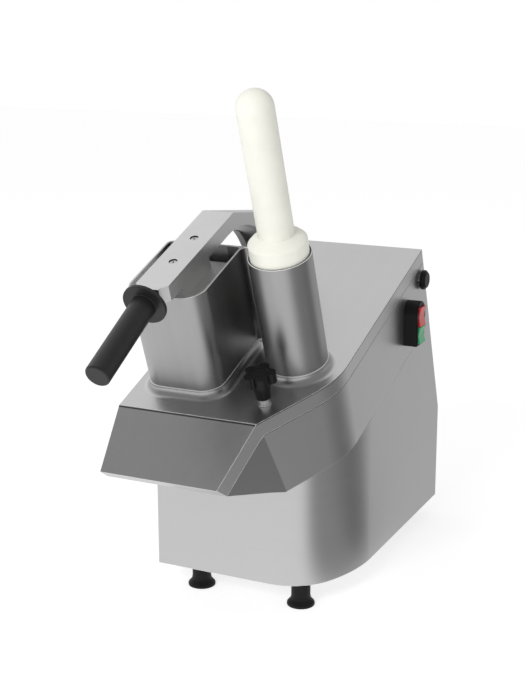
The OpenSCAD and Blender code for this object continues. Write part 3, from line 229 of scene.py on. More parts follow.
class Graph:
    """Node tree with short calls for what the finishes need."""

    def __init__(self, tree: bpy.types.NodeTree) -> None:
        """Empties the tree of a material or of the world."""
        self.tree = tree
        tree.nodes.clear()

    def node(
        self,
        kind: str,
        settings: dict[str, Any] | None = None,
        inputs: dict[str | int, Any] | None = None,
    ) -> bpy.types.Node:
        """Adds a node.

        Args:
            kind: Type name of the node.
            settings: Attributes to set.
            inputs: Input names or numbers, with numbers, vectors, values or sockets.

        Returns:
            The new node.
        """
        made = self.tree.nodes.new(kind)
        for name, setting in (settings or {}).items():
            setattr(made, name, setting)
        for name, given in (inputs or {}).items():
            target = made.inputs[name]
            if isinstance(given, Value):
                given = given.socket
            if isinstance(given, bpy.types.NodeSocket):
                self.tree.links.new(given, target)
            else:
                target.default_value = given
        return made

    def math(self, operation: str, *parts: Operand) -> Value:
        """Arithmetic on values and numbers.

        Args:
            operation: Name of the operation.
            parts: Operands.

        Returns:
            The result.
        """
        node = self.node("ShaderNodeMath", {"operation": operation}, dict(enumerate(parts)))
        return Value(self, node.outputs[0])

    def vector(self, operation: str, *parts: Any) -> bpy.types.Node:
        """Arithmetic on vectors.

        Args:
            operation: Name of the operation.
            parts: Operands.

        Returns:
            The node.
        """
        return self.node("ShaderNodeVectorMath", {"operation": operation}, dict(enumerate(parts)))

    def mixed(self, factor: Operand, first: Any, second: Any) -> Value:
        """Mix of two colours.

        Args:
            factor: Share of the second.
            first: Colour at 0.
            second: Colour at 1.

        Returns:
            The mixed colour.
        """
        inputs = {MIX_FACTOR: factor, MIX_FIRST: first, MIX_SECOND: second}
        node = self.node("ShaderNodeMix", {"data_type": "RGBA"}, inputs)
        return Value(self, node.outputs[MIX_RESULT])

    def place(self, turn: float = 0.0, stretch: Triple = (1.0, 1.0, 1.0)) -> Value:
        """Object coordinates, turned about X and stretched.

        Args:
            turn: Slope to take out, in radians.
            stretch: Factor along each axis.

        Returns:
            The coordinates.
        """
        at = self.node("ShaderNodeTexCoord").outputs["Object"]
        if turn:
            turned = self.node("ShaderNodeMapping", {}, {"Vector": at, "Rotation": (-turn, 0, 0)})
            at = turned.outputs[0]
        scaled = self.node("ShaderNodeMapping", {}, {"Vector": at, "Scale": stretch})
        return Value(self, scaled.outputs[0])

    def on_lid(self) -> tuple[Value, Value, Value]:
        """Places in the frame of the lid's plane.

        Returns:
            Distance to the right, up the slope and square to the lid.
        """
        split = self.node("ShaderNodeSeparateXYZ", {}, {0: self.place(PLACE.tilt)})
        across, along, height = (Value(self, out) for out in split.outputs)
        sine, cosine = math.sin(PLACE.tilt), math.cos(PLACE.tilt)
        return (
            across + PLACE.mid_x,
            along + (PLACE.mid_y * cosine - PLACE.plane_z * sine),
            height - (PLACE.mid_y * sine + PLACE.plane_z * cosine),
        )

    def within(self, x: float, v: float, radius: float, blur: float = 0.1 * MM) -> Value:
        """Mask of a round place on the lid.

        Args:
            x: Place of its axis across the lid.
            v: Place of its axis up the slope.
            radius: Radius of the place.
            blur: Width of its soft edge.

        Returns:
            1 inside the radius and 0 outside it.
        """
        across, along, _ = self.on_lid()
        off_x, off_v = across - x, along - v
        away = self.math("SQRT", off_x * off_x + off_v * off_v)
        return 1.0 - away.ramp(radius - blur, radius)

    def noise(self, at: Value, pattern: Pattern) -> Value:
        """Noise between 0 and 1.

        Args:
            at: Coordinates.
            pattern: Scale and detail of the noise.

        Returns:
            The noise.
        """
        inputs = {
            "Vector": at,
            "Scale": pattern.scale,
            "Detail": pattern.octaves,
            "Roughness": pattern.rough,
        }
        return Value(self, self.node("ShaderNodeTexNoise", {}, inputs).outputs[0])

    def bump(self, height: Value, depth: float, strength: float) -> Value:
        """Normal bent by a height.

        Args:
            height: Height between 0 and 1.
            depth: Depth of that range in metres.
            strength: Share of the effect.

        Returns:
            The normal.
        """
        inputs = {"Height": height, "Distance": depth, "Strength": strength}
        return Value(self, self.node("ShaderNodeBump", {}, inputs).outputs[0])

    def surface(self, inputs: dict[str, Any]) -> None:
        """Ends a material in one principled surface with the inputs given."""
        shader = self.node("ShaderNodeBsdfPrincipled", {}, inputs)
        self.node("ShaderNodeOutputMaterial", {}, {"Surface": shader.outputs[0]})


def grey(level: float) -> tuple[float, ...]:
    """Neutral colour of a linear brightness, with full alpha."""
    return (level, level, level, 1.0)


def tinted(colour: Triple, share: float, lift: float = 0.0) -> tuple[float, ...]:
    """Darker or lighter form of a colour.

    Args:
        colour: Linear colour.
        share: Factor on each channel.
        lift: What is added to each channel.

    Returns:
        The colour with full alpha, no channel above 1.
    """
    return tuple(min(1.0, channel * share + lift) for channel in colour) + (1.0,)


@dataclass(frozen=True)
class Finish:
    """Base of all finishes."""

    name: str

    def paint(self, graph: Graph) -> None:
        """Fills the empty graph of the material."""
        raise NotImplementedError

    def material(self) -> bpy.types.Material:
        """Makes the material, or finds it if it was made before.

        Returns:
            The material.
        """
        found = bpy.data.materials.get(self.name)
        if found is not None:
            return found
        made = bpy.data.materials.new(self.name)
        made.use_nodes = True
        self.paint(Graph(made.node_tree))
        return made


@dataclass(frozen=True)
class Shares:
    """How much each noise of a brushed sheet counts."""

    lines: float
    clouds: float
    streaks: float
    marks: float = 0.0


@dataclass(frozen=True)
class BrushedSteel(Finish):
    """Stainless sheet with fine brush lines, streaks, faint clouds and handling marks.

    Its subclasses paint shade on it, as a dark line along a fold or gap.
    """

    level: float = 0.6
    contrast: float = 0.09
    grain: Grain = Grain.LENGTHWISE
    slope: float = 0.0
    rough: float = 0.34
    rough_drop: float = 0.11
    relief: float = 0.02 * MM
    relief_strength: float = 0.22
    fine_lines: Pattern = Pattern(2600.0, rough=0.7)
    broad_lines: Pattern = Pattern(420.0, octaves=2.0)
    fine_share: float = 0.6
    streaks: Pattern = Pattern(95.0, octaves=2.0, rough=0.5)
    clouds: Pattern = Pattern(9.0, rough=0.55)
    marks: Pattern = Pattern(60.0, octaves=4.0, rough=0.65)
    mark_least: float = 0.55
    mark_full: float = 0.75
    tone_shares: Shares = Shares(lines=0.3, clouds=0.4, streaks=0.3)
    rough_shares: Shares = Shares(lines=0.12, clouds=0.05, streaks=0.05, marks=0.03)

    def shaded(self, graph: Graph, colour: Value) -> Value:
        """Hook for the painted light and shade of one place of the sheet; the open sheet has none.

        Args:
            graph: Graph of the material, not used here.
            colour: Colour of the open sheet.

        Returns:
            The colour with those places.
        """
        return colour

    def paint(self, graph: Graph) -> None:
        """Fills the graph.

        Args:
            graph: Empty graph of the material.
        """
        place = graph.place(self.slope)
        brushed = graph.place(self.slope, self.grain.value)
        fine = graph.noise(brushed, self.fine_lines)
        broad = graph.noise(brushed, self.broad_lines)
        lines = fine * self.fine_share + broad * (1.0 - self.fine_share)
        streaks = graph.noise(brushed, self.streaks)
        clouds = graph.noise(place, self.clouds)
        marks = graph.noise(place, self.marks).ramp(self.mark_least, self.mark_full)
        share = self.tone_shares
        tone = lines * share.lines + clouds * share.clouds + streaks * share.streaks
        share = self.rough_shares
        rough = lines * share.lines + clouds * share.clouds + streaks * share.streaks
        dark, light = self.level * (1.0 - self.contrast), self.level * (1.0 + self.contrast)
        graph.surface(
            {
                "Base Color": self.shaded(graph, graph.mixed(tone, grey(dark), grey(light))),
                "Metallic": 1.0,
                "Roughness": rough + marks * share.marks + (self.rough - self.rough_drop),
                "Normal": graph.bump(lines, self.relief, self.relief_strength),
            }
        )


@dataclass(frozen=True)
class SeamShadedSteel(BrushedSteel):
    """Brushed sheet with painted shade, a dark line where it folds or meets the next one.

    The painted shade line is full out to its core and gone past its fade, both as shares of half
    its width.
    """

    seam_w: float = 0.0
    seam_half: float = 0.55 * MM
    seam_core: float = 0.5
    seam_fade: float = 1.3
    seam_shade_level: float = 0.2

    def shaded(self, graph: Graph, colour: Value) -> Value:
        """Adds the painted seam shade, at one height above or below the lid's plane.

        Args:
            graph: Graph of the material.
            colour: Colour of the open sheet.

        Returns:
            The colour with the painted seam shade.
        """
        _, _, height = graph.on_lid()
        away = (height - self.seam_w).unsigned()
        seam_shade = 1.0 - away.ramp(self.seam_core * self.seam_half, self.seam_fade * self.seam_half)
        # Painted shade: a dark line along the fold or gap
        return graph.mixed(seam_shade, colour, grey(self.level * self.seam_shade_level))


@dataclass(frozen=True)
class LidSteel(SeamShadedSteel):
    """Lid sheet, with painted shade on the collars at the feet of the hopper and tube, which tones
    down their bright reflection.
    """

    collar_shade_share: float = 0.25
    collar_shade_level: float = 0.3
    plane_w: float = 0.2 * MM
    drawn_w: float = 2.0 * MM

    def shaded(self, graph: Graph, colour: Value) -> Value:
        """Adds the painted seam shade and the painted shade on the collars.

        Args:
            graph: Graph of the material.
            colour: Colour of the open sheet.

        Returns:
            The colour with both.
        """
        colour = super().shaded(graph, colour)
        _, _, height = graph.on_lid()
        # Painted shade over the collars, darker than the lid's plane
        collar_shade = height.ramp(self.plane_w, self.drawn_w) * self.collar_shade_share
        return graph.mixed(collar_shade, colour, grey(self.level * self.collar_shade_level))


@dataclass(frozen=True)
class HousingSteel(SeamShadedSteel):
    """Housing sheet, with painted shade on the panel beside the nose, as if it leaned away from
    the light.
    """

    panel: float = 0.7
    panel_shade_level: float = 0.5
    fold_half: float = 0.4 * MM
    side_edge: float = 1.0 * MM

    def shaded(self, graph: Graph, colour: Value) -> Value:
        """Adds the painted seam shade and the painted shade of the right panel, in front of the
        leaning fold line.

        Args:
            graph: Graph of the material.
            colour: Colour of the open sheet.

        Returns:
            The colour with both.
        """
        colour = super().shaded(graph, colour)
        across, along, height = graph.on_lid()
        fold = (PLACE.nose_fold_w - height) * PLACE.nose_fold_lean + PLACE.nose_fold_v
        front = 1.0 - (along - fold).ramp(-self.fold_half, self.fold_half)
        right = across.ramp(0.0, self.side_edge)
        # Painted shade on the right panel, in front of the fold line
        return graph.mixed(front * right * self.panel, colour, grey(self.level * self.panel_shade_level))


@dataclass(frozen=True)
class FeedSteel(BrushedSteel):
    """Darker sheet of the feed openings and of what stands beside them, brushed upright."""

    level: float = 0.43
    grain: Grain = Grain.UPRIGHT
    slope: float = PLACE.tilt
    rough: float = 0.38


@dataclass(frozen=True)
class HopperSteel(FeedSteel):
    """Hopper sheet, with painted light on its inside walls."""

    contrast: float = 0.24
    painted_inside_level: float = 0.88
    wall: float = 1.2 * MM
    blur: float = 0.4 * MM

    def shaded(self, graph: Graph, colour: Value) -> Value:
        """Adds the painted light inside, from how deep a point lies in the rounded plan.

        Args:
            graph: Graph of the material.
            colour: Colour of the open sheet.

        Returns:
            The colour with the painted light inside.
        """
        radius = PLACE.hopper_front_r
        across, along, _ = graph.on_lid()
        x = (across - PLACE.hopper_x).unsigned() - (PLACE.hopper_w / 2 - radius)
        v = (along - PLACE.hopper_v).unsigned() - (PLACE.hopper_d / 2 - radius)
        x, v = x.clamped(0.0, 1.0), v.clamped(0.0, 1.0)
        deep = radius - graph.math("SQRT", x * x + v * v)
        inside = deep.ramp(self.wall, self.wall + self.blur)
        # Painted light on the hopper's inside walls
        return graph.mixed(inside, colour, grey(self.painted_inside_level))


@dataclass(frozen=True)
class TubeSteel(FeedSteel):
    """Feed tube sheet, with painted shade inside its rim, in the gap that the pusher leaves."""

    contrast: float = 0.24
    rim: float = 0.7 * MM
    painted_inside_level: float = 0.12

    def shaded(self, graph: Graph, colour: Value) -> Value:
        """Adds the painted shade inside.

        Args:
            graph: Graph of the material.
            colour: Colour of the open sheet.

        Returns:
            The colour with the painted shade inside.
        """
        inside = graph.within(PLACE.tube_x, PLACE.tube_v, PLACE.tube_r - self.rim)
        # Painted shade inside the tube's rim
        return graph.mixed(inside, colour, grey(self.level * self.painted_inside_level))


@dataclass(frozen=True)
class BrightSteel(Finish):
    """Turned or plated bright steel of pins, screws and shafts, and of rounded edges with a
    painted highlight.

    A hollow is the radius about the feed tube's axis inside which it lies in shade.
    """

    level: float = 0.72
    rough: float = 0.2
    rough_drop: float = 0.08
    metal: float = 1.0
    hollow: float = 0.0
    hollow_level: float = 0.02
    fine: Pattern = Pattern(900.0)
    spots: Pattern = Pattern(160.0)
    dark: float = 0.88
    light: float = 1.06
    fine_rough: float = 0.12
    spot_rough: float = 0.08
    relief: float = 0.01 * MM
    relief_strength: float = 0.15

    def paint(self, graph: Graph) -> None:
        """Fills the graph.

        Args:
            graph: Empty graph of the material.
        """
        fine = graph.noise(graph.place(), self.fine)
        spots = graph.noise(graph.place(), self.spots)
        colour = graph.mixed(spots, grey(self.level * self.dark), grey(self.level * self.light))
        if self.hollow:
            inside = graph.within(PLACE.tube_x, PLACE.tube_v, self.hollow)
            colour = graph.mixed(inside, colour, grey(self.level * self.hollow_level))
        rough = fine * self.fine_rough + spots * self.spot_rough
        graph.surface(
            {
                "Base Color": colour,
                "Metallic": self.metal,
                "Roughness": rough + (self.rough - self.rough_drop),
                "Normal": graph.bump(fine, self.relief, self.relief_strength),
            }
        )


@dataclass(frozen=True)
class CastMetal(Finish):
    """Tumbled cast aluminium, or plated plate, with a soft fine grain.

    The bores are round places on the lid's plane, seen from above, that lie in shade.
    """

    colour: Triple = (0.6, 0.6, 0.6)
    rough: float = 0.36
    rough_drop: float = 0.1
    fine: Pattern = Pattern(1500.0, octaves=4.0)
    clouds: Pattern = Pattern(28.0, octaves=4.0)
    cloud_share: float = 0.7
    dark: float = 0.86
    light: float = 1.08
    fine_rough: float = 0.1
    cloud_rough: float = 0.1
    relief: float = 0.06 * MM
    relief_strength: float = 0.3
    bores: tuple[tuple[float, float], ...] = ()
    bore_r: float = 4.9 * MM
    bore_level: float = 0.03

    def paint(self, graph: Graph) -> None:
        """Fills the graph.

        Args:
            graph: Empty graph of the material.
        """
        fine = graph.noise(graph.place(), self.fine)
        clouds = graph.noise(graph.place(), self.clouds)
        tone = clouds * self.cloud_share + fine * (1.0 - self.cloud_share)
        colour = graph.mixed(tone, tinted(self.colour, self.dark), tinted(self.colour, self.light))
        for x, v in self.bores:
            bore = graph.within(x, v, self.bore_r)
            colour = graph.mixed(bore, colour, grey(self.bore_level))
        rough = fine * self.fine_rough + clouds * self.cloud_rough
        graph.surface(
            {
                "Base Color": colour,
                "Metallic": 1.0,
                "Roughness": rough + (self.rough - self.rough_drop),
                "Normal": graph.bump(fine, self.relief, self.relief_strength),
            }
        )


@dataclass(frozen=True)
class Moulded(Finish):
    """Moulded plastic or rubber with its mould grain, worn to a sheen in places."""

    colour: Triple
    rough: float = 0.45
    rough_drop: float = 0.09
    fine: Pattern = Pattern(1800.0)
    clouds: Pattern = Pattern(35.0, rough=0.5)
    cloud_share: float = 0.8
    dark: float = 0.88
    light: float = 1.07
    light_lift: float = 0.002
    cloud_rough: float = 0.12
    fine_rough: float = 0.06
    relief: float = 0.05 * MM
    relief_strength: float = 0.35
    specular: float = 0.5
    coat: float = 0.0
    coat_rough: float = 0.12

    def paint(self, graph: Graph) -> None:
        """Fills the graph.

        Args:
            graph: Empty graph of the material.
        """
        fine = graph.noise(graph.place(), self.fine)
        clouds = graph.noise(graph.place(), self.clouds)
        tone = clouds * self.cloud_share + fine * (1.0 - self.cloud_share)
        dark = tinted(self.colour, self.dark)
        light = tinted(self.colour, self.light, self.light_lift)
        rough = clouds * self.cloud_rough + fine * self.fine_rough
        graph.surface(
            {
                "Base Color": graph.mixed(tone, dark, light),
                "Roughness": rough + (self.rough - self.rough_drop),
                "Specular IOR Level": self.specular,
                "Coat Weight": self.coat,
                "Coat Roughness": self.coat_rough,
                "Normal": graph.bump(fine, self.relief, self.relief_strength),
            }
        )


# Painted light: a brighter copy of the brushed sheet for the press shoe and plate, which lie in
# the hopper's shade
SHOE_PAINTED_LIGHT_STEEL = BrushedSteel("shoe_painted_light_steel", level=0.75, slope=PLACE.tilt, rough=0.52)
INNER_STEEL = BrushedSteel("inner_steel", level=0.5, slope=PLACE.tilt, rough=0.32)
BODY_STEEL = SeamShadedSteel("body_steel", grain=Grain.AROUND, seam_w=PLACE.base_seam_w)
LID_STEEL = LidSteel("lid_steel", slope=PLACE.tilt, seam_w=PLACE.fold_w)
HOUSING_STEEL = HousingSteel(
    "housing_steel", slope=PLACE.tilt, grain=Grain.AROUND, seam_w=PLACE.flange_seam_w
)
FEED_STEEL = FeedSteel("feed_steel")
HOPPER_STEEL = HopperSteel("hopper_steel")
TUBE_STEEL = TubeSteel("tube_steel")

BRIGHT = BrightSteel("bright_steel_finish")
SCREW = BrightSteel("screw_finish", level=0.98, rough=0.5)
HINGE = BrightSteel("hinge_finish", level=0.5, rough=0.3)
WELD = BrightSteel("weld_finish", level=0.85, rough=0.45, metal=0.6)
# Painted highlight: a brighter finish on the rounded edges of the sheets
HIGHLIGHT_EDGE = BrightSteel("highlight_edge_finish", level=0.85, rough=0.4, metal=0.5)
# Painted highlight on the tube's rounded edges, with the painted shade inside its rim
TUBE_HIGHLIGHT_EDGE = BrightSteel(
    "tube_highlight_edge_finish",
    level=0.85,
    rough=0.4,
    metal=0.5,
    hollow=PLACE.tube_r - TUBE_STEEL.rim,
)

CAST = CastMetal("cast_aluminium_finish")
PLATED = CastMetal("plated_steel_finish", colour=(0.5, 0.5, 0.47), rough=0.3, relief=0.02 * MM)
LEVER_CAST = CastMetal(
    "lever_finish", colour=(0.74, 0.74, 0.74), rough=0.42, bores=PLACE.lever_screws
)

BLACK = Moulded("black_plastic_finish", colour=(0.006, 0.006, 0.0065), rough=0.38, specular=0.2)
GRIP_BLACK = Moulded(
    "grip_finish",
    colour=(0.012, 0.012, 0.0125),
    rough=0.4,
    fine=Pattern(1300.0),
    specular=0.45,
)
RUBBER = Moulded(
    "rubber_finish",
    colour=(0.006, 0.006, 0.0065),
    rough=0.55,
    relief=0.06 * MM,
    specular=0.25,
)
IVORY = Moulded(
    "ivory_plastic_finish",
    colour=(0.8, 0.8, 0.725),
    rough=0.4,
    relief=0.02 * MM,
    specular=0.35,
)
WHITE = Moulded("white_plastic_finish", colour=(0.75, 0.75, 0.72))
RED = Moulded(
    "red_key_finish", colour=(0.52, 0.015, 0.02), rough=0.25, relief=0.01 * MM, coat=0.5
)
GREEN = Moulded(
    "green_key_finish", colour=(0.02, 0.32, 0.13), rough=0.28, relief=0.01 * MM, coat=0.5
)

SLOT_FINISH: dict[str, Finish] = {
    "steel": INNER_STEEL,
    "bright_steel": BRIGHT,
    "cast_aluminium": CAST,
    "plated_steel": PLATED,
    "black_plastic": BLACK,
    "ivory_plastic": IVORY,
    "white_plastic": WHITE,
    "black_rubber": RUBBER,
    "red_plastic": RED,
    "green_plastic": GREEN,
}

NODE_FINISH: dict[str, Finish] = {
    "lid": LID_STEEL,
    "upper_housing": HOUSING_STEEL,
    "hopper": HOPPER_STEEL,
    "feed_tube": TUBE_STEEL,
    "press_shoe": SHOE_PAINTED_LIGHT_STEEL,
    "press_plate": SHOE_PAINTED_LIGHT_STEEL,
    "lever_arm": LEVER_CAST,
    "lid_hinge_leaves": HINGE,
    "body_hinge_leaves": HINGE,
    "lever_screws": SCREW,
    "lock_stud": SCREW,
    "lock_washer": SCREW,
    "base_shell": BODY_STEEL,
    "base_plate": BODY_STEEL,
    "lever_bracket": FEED_STEEL,
    "grip": GRIP_BLACK,
}


def select_only(piece: bpy.types.Object) -> None:
    """Makes one object the selected and active one.

    Args:
        piece: The object.
    """
    bpy.ops.object.select_all(action="DESELECT")
    piece.select_set(True)
    bpy.context.view_layer.objects.active = piece


def slot_of(node: str) -> str:
    """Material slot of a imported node.

    Args:
        node: Name of the node.

    Returns:
        Name of its slot in the record.
    """
    for part in frame["record"]["subparts"]:
        if part["node"] == node:
            return part["material_slot"]
    raise KeyError(node)


def finish_of(node: str) -> Finish:
    """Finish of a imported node.

    Args:
        node: Name of the node.

    Returns:
        Its own finish, or that of its slot.
    """
    return NODE_FINISH.get(node, SLOT_FINISH[slot_of(node)])


def set_finish(piece: bpy.types.Object, finish: Finish) -> None:
    """Gives a whole object one finish.

    Args:
        piece: The object.
        finish: The finish.
    """
    made = finish.material()
    piece.data.materials.clear()
    piece.data.materials.append(made)


def dress_nodes() -> None:
    """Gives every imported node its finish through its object's slots."""
    for name, node in frame["nodes"].items():
        made = finish_of(name).material()
        if not node.material_slots:
            node.data.materials.append(made)
        for slot in node.material_slots:
            slot.link = "OBJECT"
            slot.material = made


@dataclass(frozen=True)
class Rounded:
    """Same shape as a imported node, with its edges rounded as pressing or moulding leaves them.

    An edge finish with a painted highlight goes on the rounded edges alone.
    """

    node: str
    width: float
    steps: int = 3
    edge: Finish | None = None
    merge: float = 0.01 * MM
    flat: float = math.radians(0.5)
    sharp: float = math.radians(28.0)
    smooth: float = math.radians(35.0)

    def build(self) -> bpy.types.Object:
        """Makes the piece and lets it stand for the node.

        Returns:
            The piece.
        """
        source = frame["nodes"][self.node]
        piece = bpy.data.objects.new(f"{self.node}_skin", source.data.copy())
        bpy.context.scene.collection.objects.link(piece)
        self._clean(piece)
        set_finish(piece, finish_of(self.node))
        self._round(piece)
        self._shade(piece)
        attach(piece, body_of(source)[0])
        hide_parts(self.node)
        slot_of(self.node)
        return piece

    def _clean(self, piece: bpy.types.Object) -> None:
        """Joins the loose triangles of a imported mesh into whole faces.

        Args:
            piece: The piece.
        """
        select_only(piece)
        bpy.ops.object.mode_set(mode="EDIT")
        bpy.ops.mesh.select_all(action="SELECT")
        bpy.ops.mesh.remove_doubles(threshold=self.merge)
        bpy.ops.mesh.dissolve_limited(angle_limit=self.flat)
        bpy.ops.mesh.normals_make_consistent(inside=False)
        bpy.ops.object.mode_set(mode="OBJECT")

    def _round(self, piece: bpy.types.Object) -> None:
        """Rounds the sharp edges, and gives them the edge finish with its painted highlight if
        there is one.

        Args:
            piece: The piece.
        """
        bevel = piece.modifiers.new("edge", "BEVEL")
        bevel.width = self.width
        bevel.segments = self.steps
        bevel.limit_method = "ANGLE"
        bevel.angle_limit = self.sharp
        bevel.use_clamp_overlap = True
        # The edge finish paints a highlight on the rounded edges
        if self.edge is not None:
            piece.data.materials.append(self.edge.material())
            bevel.material = 1
        bpy.ops.object.modifier_apply(modifier=bevel.name)

    def _shade(self, piece: bpy.types.Object) -> None:
        """Shades the rounds smooth, and keeps the large faces flat between them.

        Args:
            piece: The piece.
        """
        bpy.ops.object.shade_smooth_by_angle(angle=self.smooth)
        flat = piece.modifiers.new("flat", "WEIGHTED_NORMAL")
        flat.keep_sharp = True
        bpy.ops.object.modifier_apply(modifier=flat.name)


class SubAssembly:
    """Pieces of the machine that are built together."""

    def build(self) -> list[bpy.types.Object]:
        """Makes the pieces and returns them."""
        raise NotImplementedError


@dataclass(frozen=True)
class FeedLid(SubAssembly):
    """Folded lid with its hopper and feed tube, and the fine weld lines round them."""

    lid_edge: float = 0.45 * MM
    feed_edge: float = 0.6 * MM
    edge_steps: int = 2
    bead_r: float = 0.5 * MM
    bead_proud: float = 0.15 * MM
    bead_turns: int = 64
    bead_fineness: int = 3

    def build(self) -> list[bpy.types.Object]:
        """Makes the sheets and the beads.

        Returns:
            The pieces.
        """
        return [
            Rounded("lid", self.lid_edge, self.edge_steps, HIGHLIGHT_EDGE).build(),
            Rounded("hopper", self.feed_edge, self.edge_steps, HIGHLIGHT_EDGE).build(),
            Rounded("feed_tube", self.feed_edge, self.edge_steps, TUBE_HIGHLIGHT_EDGE).build(),
            self._bead("tube_weld", self._tube_foot()),
            self._bead("hopper_weld", self._hopper_foot()),
        ]

    def _tube_foot(self) -> list[Vector]:
        """Points round the tube's foot, on the lid.

        Returns:
            The points.
        """
        r = PLACE.tube_r + self.bead_proud
        turns = [2 * math.pi * n / self.bead_turns for n in range(self.bead_turns)]
        return [self._round_point(PLACE.tube_x, PLACE.tube_v, r, turn) for turn in turns]

    def _hopper_foot(self) -> list[Vector]:
        """Points round the hopper's foot, on the lid, corner by corner.

        Returns:
            The points.
        """
        quarter = self.bead_turns // 4
        points = []
        for corner, (side, end) in enumerate([(1, 1), (-1, 1), (-1, -1), (1, -1)]):
            radius = PLACE.hopper_rear_r if end > 0 else PLACE.hopper_front_r
            x = PLACE.hopper_x + side * (PLACE.hopper_w / 2 - radius)
            v = PLACE.hopper_v + end * (PLACE.hopper_d / 2 - radius)
            for n in range(quarter + 1):
                turn = math.pi / 2 * (corner + n / quarter)
                points.append(self._round_point(x, v, radius + self.bead_proud, turn))
        return points

    def _round_point(self, x: float, v: float, r: float, turn: float) -> Vector:
        """Point on a circle at the height of the collars.

        Args:
            x: Place of the circle's middle across the lid.
            v: Place of its middle up the slope.
            r: Radius.
            turn: Angle in radians.

        Returns:
            The point on the lid.
        """
        return Vector((x + r * math.cos(turn), v + r * math.sin(turn), PLACE.collar_h))

    def _bead(self, name: str, path: list[Vector]) -> bpy.types.Object:
        """Lays a closed bead of weld along a path.

        Args:
            name: Name of the piece.
            path: Points on the lid.

        Returns:
            The piece.
        """
        curve = bpy.data.curves.new(name, "CURVE")
        curve.dimensions = "3D"
        curve.bevel_depth = self.bead_r
        curve.bevel_resolution = self.bead_fineness
        spline = curve.splines.new("POLY")
        spline.points.add(len(path) - 1)
        spline.use_cyclic_u = True
        lid = PLACE.on_lid()
        for point, at in zip(spline.points, path):
            point.co = (*(lid @ at), 1.0)
        piece = bpy.data.objects.new(name, curve)
        bpy.context.scene.collection.objects.link(piece)
        select_only(piece)
        bpy.ops.object.convert(target="MESH")
        piece = bpy.context.view_layer.objects.active
        bpy.ops.object.shade_smooth()
        set_finish(piece, WELD)
        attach(piece, "lid")
        return piece


@dataclass(frozen=True)
class Body(SubAssembly):
    """Sheet housing and base on their rubber feet."""

    sheet_edge: float = 0.45 * MM
    sheet_steps: int = 2
    foot_edge: float = 0.8 * MM

    def build(self) -> list[bpy.types.Object]:
        """Makes the sheets and the feet.

        Returns:
            The pieces.
        """
        return [
            Rounded("upper_housing", self.sheet_edge, self.sheet_steps, HIGHLIGHT_EDGE).build(),
            Rounded("base_shell", self.sheet_edge, self.sheet_steps, HIGHLIGHT_EDGE).build(),
            Rounded("feet", self.foot_edge).build(),
        ]


@dataclass(frozen=True)
class PressLever(SubAssembly):
    """Cast lever with its press shoe and moulded grip."""

    arm_edge: float = 1.2 * MM
    shoe_edge: float = 1.5 * MM
    grip_edge: float = 0.7 * MM

    def build(self) -> list[bpy.types.Object]:
        """Makes the lever, the shoe and the grip.

        Returns:
            The pieces.
        """
        return [
            Rounded("lever_arm", self.arm_edge).build(),
            Rounded("press_shoe", self.shoe_edge).build(),
            Rounded("grip", self.grip_edge).build(),
        ]


@dataclass(frozen=True)
class HandParts(SubAssembly):
    """Loose pusher and the star knob that locks the lid."""

    pusher_edge: float = 0.8 * MM
    knob_edge: float = 0.7 * MM

    def build(self) -> list[bpy.types.Object]:
        """Makes the pusher and the knob.

        Returns:
            The pieces.
        """
        return [
            Rounded("pusher", self.pusher_edge).build(),
            Rounded("lock_knob", self.knob_edge).build(),
        ]


@dataclass(frozen=True)
class Controls(SubAssembly):
    """Switch box with its two keys, and the reset knob."""

    box_edge: float = 0.6 * MM
    key_edge: float = 0.6 * MM
    reset_edge: float = 0.3 * MM

    def build(self) -> list[bpy.types.Object]:
        """Makes the box, the keys and the knob.

        Returns:
            The pieces.
        """
        return [
            Rounded("switch_box", self.box_edge).build(),
            Rounded("stop_button", self.key_edge).build(),
            Rounded("start_button", self.key_edge).build(),
            Rounded("reset_knob", self.reset_edge).build(),
        ]


@dataclass(frozen=True)
class View:
    """Camera at the photograph's place."""

    at: Triple = (648.2 * MM, -1378.48 * MM, 681.03 * MM)
    azimuth: float = math.radians(25.6414)
    elevation: float = math.radians(14.5228)
    roll: float = math.radians(-0.107)
    lens: float = 69.72
    sensor: float = 36.0
    far: float = 50.0

    def build(self) -> bpy.types.Object:
        """Makes the camera and lets the scene use it.

        Returns:
            The camera.
        """
        data = bpy.data.cameras.new("camera")
        data.lens = self.lens
        data.sensor_width = self.sensor
        data.clip_end = self.far
        camera = bpy.data.objects.new("camera", data)
        a, e = self.azimuth, self.elevation
        back = Vector((math.sin(a) * math.cos(e), -math.cos(a) * math.cos(e), math.sin(e)))
        right = Vector((math.cos(a), math.sin(a), 0.0))
        up = back.cross(right)
        turn = Matrix((right, up, back)).transposed().to_4x4()
        camera.matrix_world = (
            Matrix.Translation(self.at) @ turn @ Matrix.Rotation(self.roll, 4, "Z")
        )
        bpy.context.scene.collection.objects.link(camera)
        bpy.context.scene.camera = camera
        return camera


@dataclass(frozen=True)
class Lamp:
    """One soft box, whose own shape isn't seen in the metal."""

    name: str
    at: Triple
    aim: Triple
    size: float
    power: float

    def build(self) -> bpy.types.Object:
        """Makes the lamp.

        Returns:
            The lamp.
        """
        data = bpy.data.lights.new(self.name, "AREA")
        data.shape = "SQUARE"
        data.size = self.size
        data.energy = self.power
        lamp = bpy.data.objects.new(self.name, data)
        away = Vector(self.at) - Vector(self.aim)
        lamp.rotation_euler = away.to_track_quat("Z", "Y").to_euler()
        lamp.location = self.at
        lamp.visible_glossy = False
        bpy.context.scene.collection.objects.link(lamp)
        return lamp


@dataclass(frozen=True)
class Lobe:
    """Soft patch of the room that metal sees, brighter or darker than the rest.

    The patch fades out where the cosine of the angle from its aim falls from high to low.
    """

    aim: Triple
    low: float
    high: float
    level: float

    def value(self, graph: Graph, toward: Value) -> Value:
        """Share of the patch in a direction, times its level.

        Args:
            graph: Graph to add to.
            toward: Direction, of length one.

        Returns:
            The patch's brightness.
        """
        node = graph.vector("DOT_PRODUCT", toward, tuple(Vector(self.aim).normalized()))
        return Value(graph, node.outputs["Value"]).ramp(self.low, self.high) * self.level


